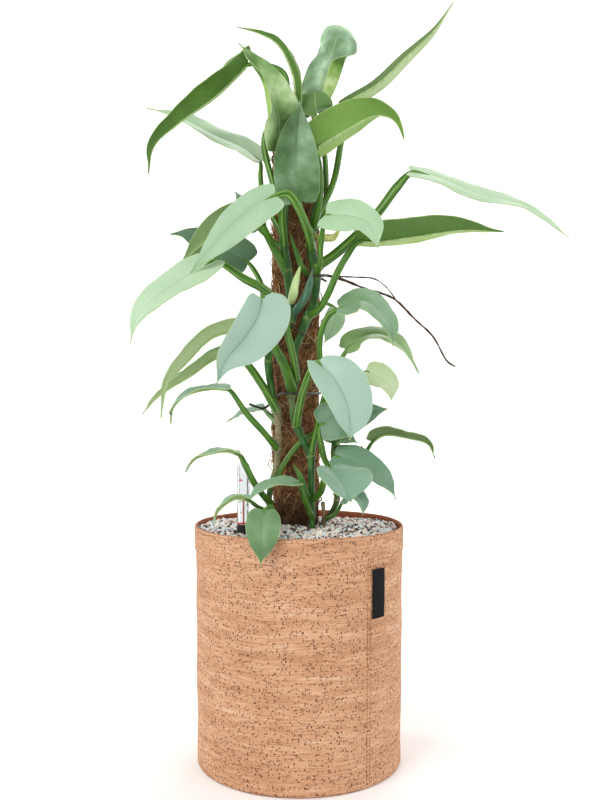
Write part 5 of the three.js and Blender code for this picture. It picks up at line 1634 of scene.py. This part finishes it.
class PHILODENDRON_OT_leaves(Operator):
    """Grow every leaf: blade, stalk and raised rib in one piece"""

    bl_idname = "philodendron.leaves"
    bl_label = "Leaves"

    def execute(self, context):
        uppers = {
            "silver": blade_skin(
                "leaf_upper_silver_bloom", ("#3d6338", "#688c5c", "#84a684", "#a9cba3", "#cbe2c0"),
                "#c9dfba", "#d5e3b0", groove="#88aa80",
            ),
            "blue": blade_skin(
                "leaf_upper_blue_bloom", ("#3d6240", "#698d70", "#8fb29a", "#a9c6b4", "#c0d6c4"),
                "#c6dcce", "#cfdfb4", groove="#7fa189",
            ),
            "slate": blade_skin(
                "leaf_upper_dark_bloom", ("#34562c", "#4f7444", "#6c9066", "#8dab89", "#b0c6aa"),
                "#9fb893", "#a9c086", groove="#56794a",
            ),
            "green": blade_skin(
                "leaf_upper_fresh_green", ("#3f6124", "#5d8340", "#7ba060", "#a3c286", "#c9dcae"),
                "#bcd39b", "#cadb9c",
            ),
            "young": blade_skin(
                "leaf_upper_young", ("#7f9a5c", "#98b077", "#aabf90", "#bdcfa3", "#d2deb8"),
                "#cddab0", "#d7e2ac",
            ),
        }
        unders = {
            "bright": blade_skin(
                "leaf_under_bright_green", ("#37591a", "#55802b", "#77a045", "#9fc06c", "#c8da9f"),
                "#a6c078", "#bed28a", rough=0.5,
            ),
            "pale": blade_skin(
                "leaf_under_pale_green", ("#4c6836", "#6f8c52", "#93ad74", "#b5c996", "#d6e0bb"),
                "#c0d0a0", "#cbd9a6", rough=0.5,
            ),
        }
        edge = plain_skin("leaf_edge", "#93b06c", "#b6cc8e", 5, 0.5)
        stalks = stalk_skin("leaf_stalk_green", "#28560c", "#659a2c", "#9cc366")
        slots = {look: "leaf_" + look for look in uppers}
        slots["slate"] = "leaf_dark"
        for node, leaf in LEAVES.items():
            name = node + "_grown"
            line = SmoothLine([seen(*point) for point in leaf["rib"]])
            blade = make_blade(name, line, leaf)
            upper = uppers[leaf.get("skin", leaf["look"])]
            under = unders[leaf.get("under", "pale")]
            for place, skin in enumerate((upper, under, edge)):
                blade.data.materials[place] = skin
            stalk = make_stalk("stalk", line, leaf)
            stalk.data.materials.append(stalks)
            rib = make_rib("rib", line, leaf)
            rib.data.materials.append(edge)
            grown = joined(name, [stalk, rib, blade])
            smooth(grown, 55)
            finish_piece(grown, "planter", [node])
        return {"FINISHED"}


class PHILODENDRON_OT_shoots(Operator):
    """Grow the rolled new leaf and the sheaths at the nodes"""

    bl_idname = "philodendron.shoots"
    bl_label = "Shoots and sheaths"

    def execute(self, context):
        skins = {
            "young": plain_skin("new_leaf_rolled_skin", "#b3d184", "#d6e9b0", 14, 0.4),
            "papery": plain_skin("sheath_drying_skin", "#a9ac55", "#dbdc96", 6, 0.6, 0.0006, 0.5),
            "stem": stalk_skin("sheath_bloomed_skin", "#2f5742", "#5f8a70", "#7fa58a"),
            "green": stalk_skin("sheath_green_skin", "#2f5f17", "#5d9038", "#8fb763"),
        }
        for node, shoot in SHOOTS.items():
            line = SmoothLine([seen(*point) for point in shoot["points"]])
            radii = [point[3] for point in shoot["points"]]

            def radius(turn, share, line=line, radii=radii, gap=shoot["gap"]):
                spiral = (turn / (2 * math.pi) + share * 0.6) % 1
                step = 0.16 * spiral - 0.08
                dent = -gap * 0.9 * np.exp(-(((turn - math.pi) / 0.7) ** 2)) * soft_step(0.3, 0.7, share)
                return line.value(radii, share) * (1 + step + dent)

            piece = tube(node + "_grown", line, radius, sides=26, rows=50)
            smooth(piece, 40)
            finish_piece(piece, "planter", [node], [skins[shoot["look"]]])
        return {"FINISHED"}


class PHILODENDRON_OT_roots(Operator):
    """Grow the aerial roots"""

    bl_idname = "philodendron.roots"
    bl_label = "Aerial roots"

    def execute(self, context):
        bark = plain_skin("aerial_root_dry_bark", "#2e1f17", "#5f4534", 3, 0.75, 0.0005, 0.7)
        for node, parts in (
            ("aerial_root_long", ((ROOT_LONG, 1.7, 0.6), (ROOT_BRANCH, 1.1, 0.6))),
            ("aerial_root_short", ((ROOT_SHORT, 1.4, 0.7),)),
            ("aerial_root_low", ((ROOT_LOW, 1.2, 0.7),)),
        ):
            made = [self.root(points, thick, end) for points, thick, end in parts]
            piece = joined(node + "_grown", made)
            smooth(piece, 60)
            finish_piece(piece, "planter", [node], [bark])
        return {"FINISHED"}

    def root(self, points, thick, end):
        """One root with a knobbly girth, which thins to a share of its thickness at its end."""
        line = SmoothLine([seen(*point) for point in points])

        def radius(turn, share):
            run = share * line.length
            knots = 1 + 0.14 * np.sin(run / 2.3) + 0.1 * np.sin(run / 5.9 + 1)
            return thick * (1 - (1 - end) * share) * knots

        return tube("root", line, radius, sides=8, rows=int(line.length / 1.6))


class PHILODENDRON_OT_ties(Operator):
    """Bend the soft ties round the pole and the stems"""

    bl_idname = "philodendron.ties"
    bl_label = "Ties"

    def execute(self, context):
        coat = plain_skin("tie_wire_pvc_coated", "#23281f", "#3d4438", 4, 0.45, 0.0002, 0.3)
        for node, points in (("tie_low", TIE_LOW), ("tie_high", TIE_HIGH)):
            line = SmoothLine(points)
            piece = tube(node + "_wire", line, self.radius, sides=10, rows=120)
            smooth(piece, 60)
            finish_piece(piece, "planter", [node], [coat])
        return {"FINISHED"}

    def radius(self, turn, share):
        return np.full_like(share, 1.4)


class PHILODENDRON_OT_studio(Operator):
    """Set the seamless paper, the soft lights and the camera"""

    bl_idname = "philodendron.studio"
    bl_label = "Studio"

    def execute(self, context):
        settings = context.scene.philodendron_studio
        self.paper(settings)
        world = bpy.data.worlds.new("studio_room")
        world.use_nodes = True
        background = world.node_tree.nodes["Background"]
        background.inputs["Color"].default_value = (1.0, 1.0, 1.0, 1.0)
        background.inputs["Strength"].default_value = settings.sky
        context.scene.world = world
        lights = (
            ("key_softbox", (-1.5, -1.7, 2.1), (0.0, 0.0, 0.45), 1.6, 1.0),
            ("fill_softbox", (1.9, -1.2, 1.2), (0.0, 0.0, 0.4), 1.8, 0.35),
            ("back_softbox", (0.6, 1.9, 2.0), (0.0, 0.0, 0.5), 1.4, 0.4),
            ("paper_softbox_left", (-2.2, 1.2, 1.6), (-0.3, 3.4, 0.6), 1.6, 0.95),
            ("paper_softbox_right", (2.2, 1.2, 1.6), (0.3, 3.4, 0.6), 1.6, 0.95),
        )
        for name, place, target, size, share in lights:
            self.light(name, place, target, size, settings.key * share)
        self.camera()
        context.scene.view_settings.view_transform = "Standard"
        return {"FINISHED"}

    def paper(self, settings):
        """Paper that lies flat under the planter and sweeps up behind it."""
        flat = 2200
        bend = 1200

        def place(u, v):
            x = (u - 0.5) * 9000
            run = v * 8200 - 3000
            turn = np.clip((run - flat) / bend, 0, math.pi / 2)
            y = np.minimum(run, flat) + bend * np.sin(turn)
            z = bend * (1 - np.cos(turn)) + np.clip(run - flat - bend * math.pi / 2, 0, None)
            return np.stack([x, y, z - 0.2], -1)

        paper = laid("seamless_paper", 8, 80, place)
        smooth(paper, 60)
        paper.data.materials.append(studio_paper(settings))

    def light(self, name, place, target, size, power):
        """A square soft light that points at a target."""
        way = [t - p for t, p in zip(target, place)]
        flat = math.hypot(way[0], way[1])
        bpy.ops.object.light_add(
            type="AREA", location=place,
            rotation=(math.atan2(flat, -way[2]), 0, math.atan2(way[1], way[0]) - math.pi / 2),
        )
        lamp = bpy.context.object
        lamp.name = name
        lamp.data.size = size
        lamp.data.energy = power

    def camera(self):
        """A level camera at the height and distance that the plant's places are read from."""
        bpy.ops.object.camera_add(location=(0, -EYE_BACK * MM, EYE_UP * MM), rotation=(math.pi / 2, 0, 0))
        camera = bpy.context.object
        camera.name = "camera_level"
        camera.data.sensor_width = 36
        camera.data.lens = 43.44
        camera.data.shift_x = 0.0011
        camera.data.shift_y = -0.0219
        camera.data.clip_start = 0.05
        camera.data.dof.use_dof = False
        bpy.context.scene.camera = camera


PIECES = (
    PHILODENDRON_OT_planter, PHILODENDRON_OT_bed, PHILODENDRON_OT_gauge, PHILODENDRON_OT_pole,
    PHILODENDRON_OT_stems, PHILODENDRON_OT_leaves, PHILODENDRON_OT_shoots, PHILODENDRON_OT_roots,
    PHILODENDRON_OT_ties, PHILODENDRON_OT_studio,
)
SETTINGS = {
    "philodendron_planter": PlanterSettings, "philodendron_bed": BedSettings,
    "philodendron_pole": PoleSettings, "philodendron_gauge": GaugeSettings,
    "philodendron_plant": PlantSettings, "philodendron_studio": StudioSettings,
}


class PHILODENDRON_PT_pieces(Panel):
    """Lists the pieces of the plant"""

    bl_idname = "PHILODENDRON_PT_pieces"
    bl_label = "Potted philodendron"
    bl_space_type = "VIEW_3D"
    bl_region_type = "UI"
    bl_category = "Philodendron"

    def draw(self, context):
        for piece in PIECES:
            self.layout.operator(piece.bl_idname)
        for name, group in SETTINGS.items():
            box = self.layout.box()
            for prop in group.__annotations__:
                box.prop(getattr(context.scene, name), prop)


def register():
    for group in SETTINGS.values():
        bpy.utils.register_class(group)
    for name, group in SETTINGS.items():
        setattr(bpy.types.Scene, name, PointerProperty(type=group))
    for made in (*PIECES, PHILODENDRON_PT_pieces):
        bpy.utils.register_class(made)


def unregister():
    for made in (PHILODENDRON_PT_pieces, *reversed(PIECES)):
        bpy.utils.unregister_class(made)
    for name in SETTINGS:
        delattr(bpy.types.Scene, name)
    for group in reversed(list(SETTINGS.values())):
        bpy.utils.unregister_class(group)


def main():
    """Makes every piece in order."""
    register()
    bpy.ops.philodendron.planter()
    bpy.ops.philodendron.bed()
    bpy.ops.philodendron.gauge()
    bpy.ops.philodendron.pole()
    bpy.ops.philodendron.stems()
    bpy.ops.philodendron.leaves()
    bpy.ops.philodendron.shoots()
    bpy.ops.philodendron.roots()
    bpy.ops.philodendron.ties()
    bpy.ops.philodendron.studio()


if __name__ == "__main__":
    main()
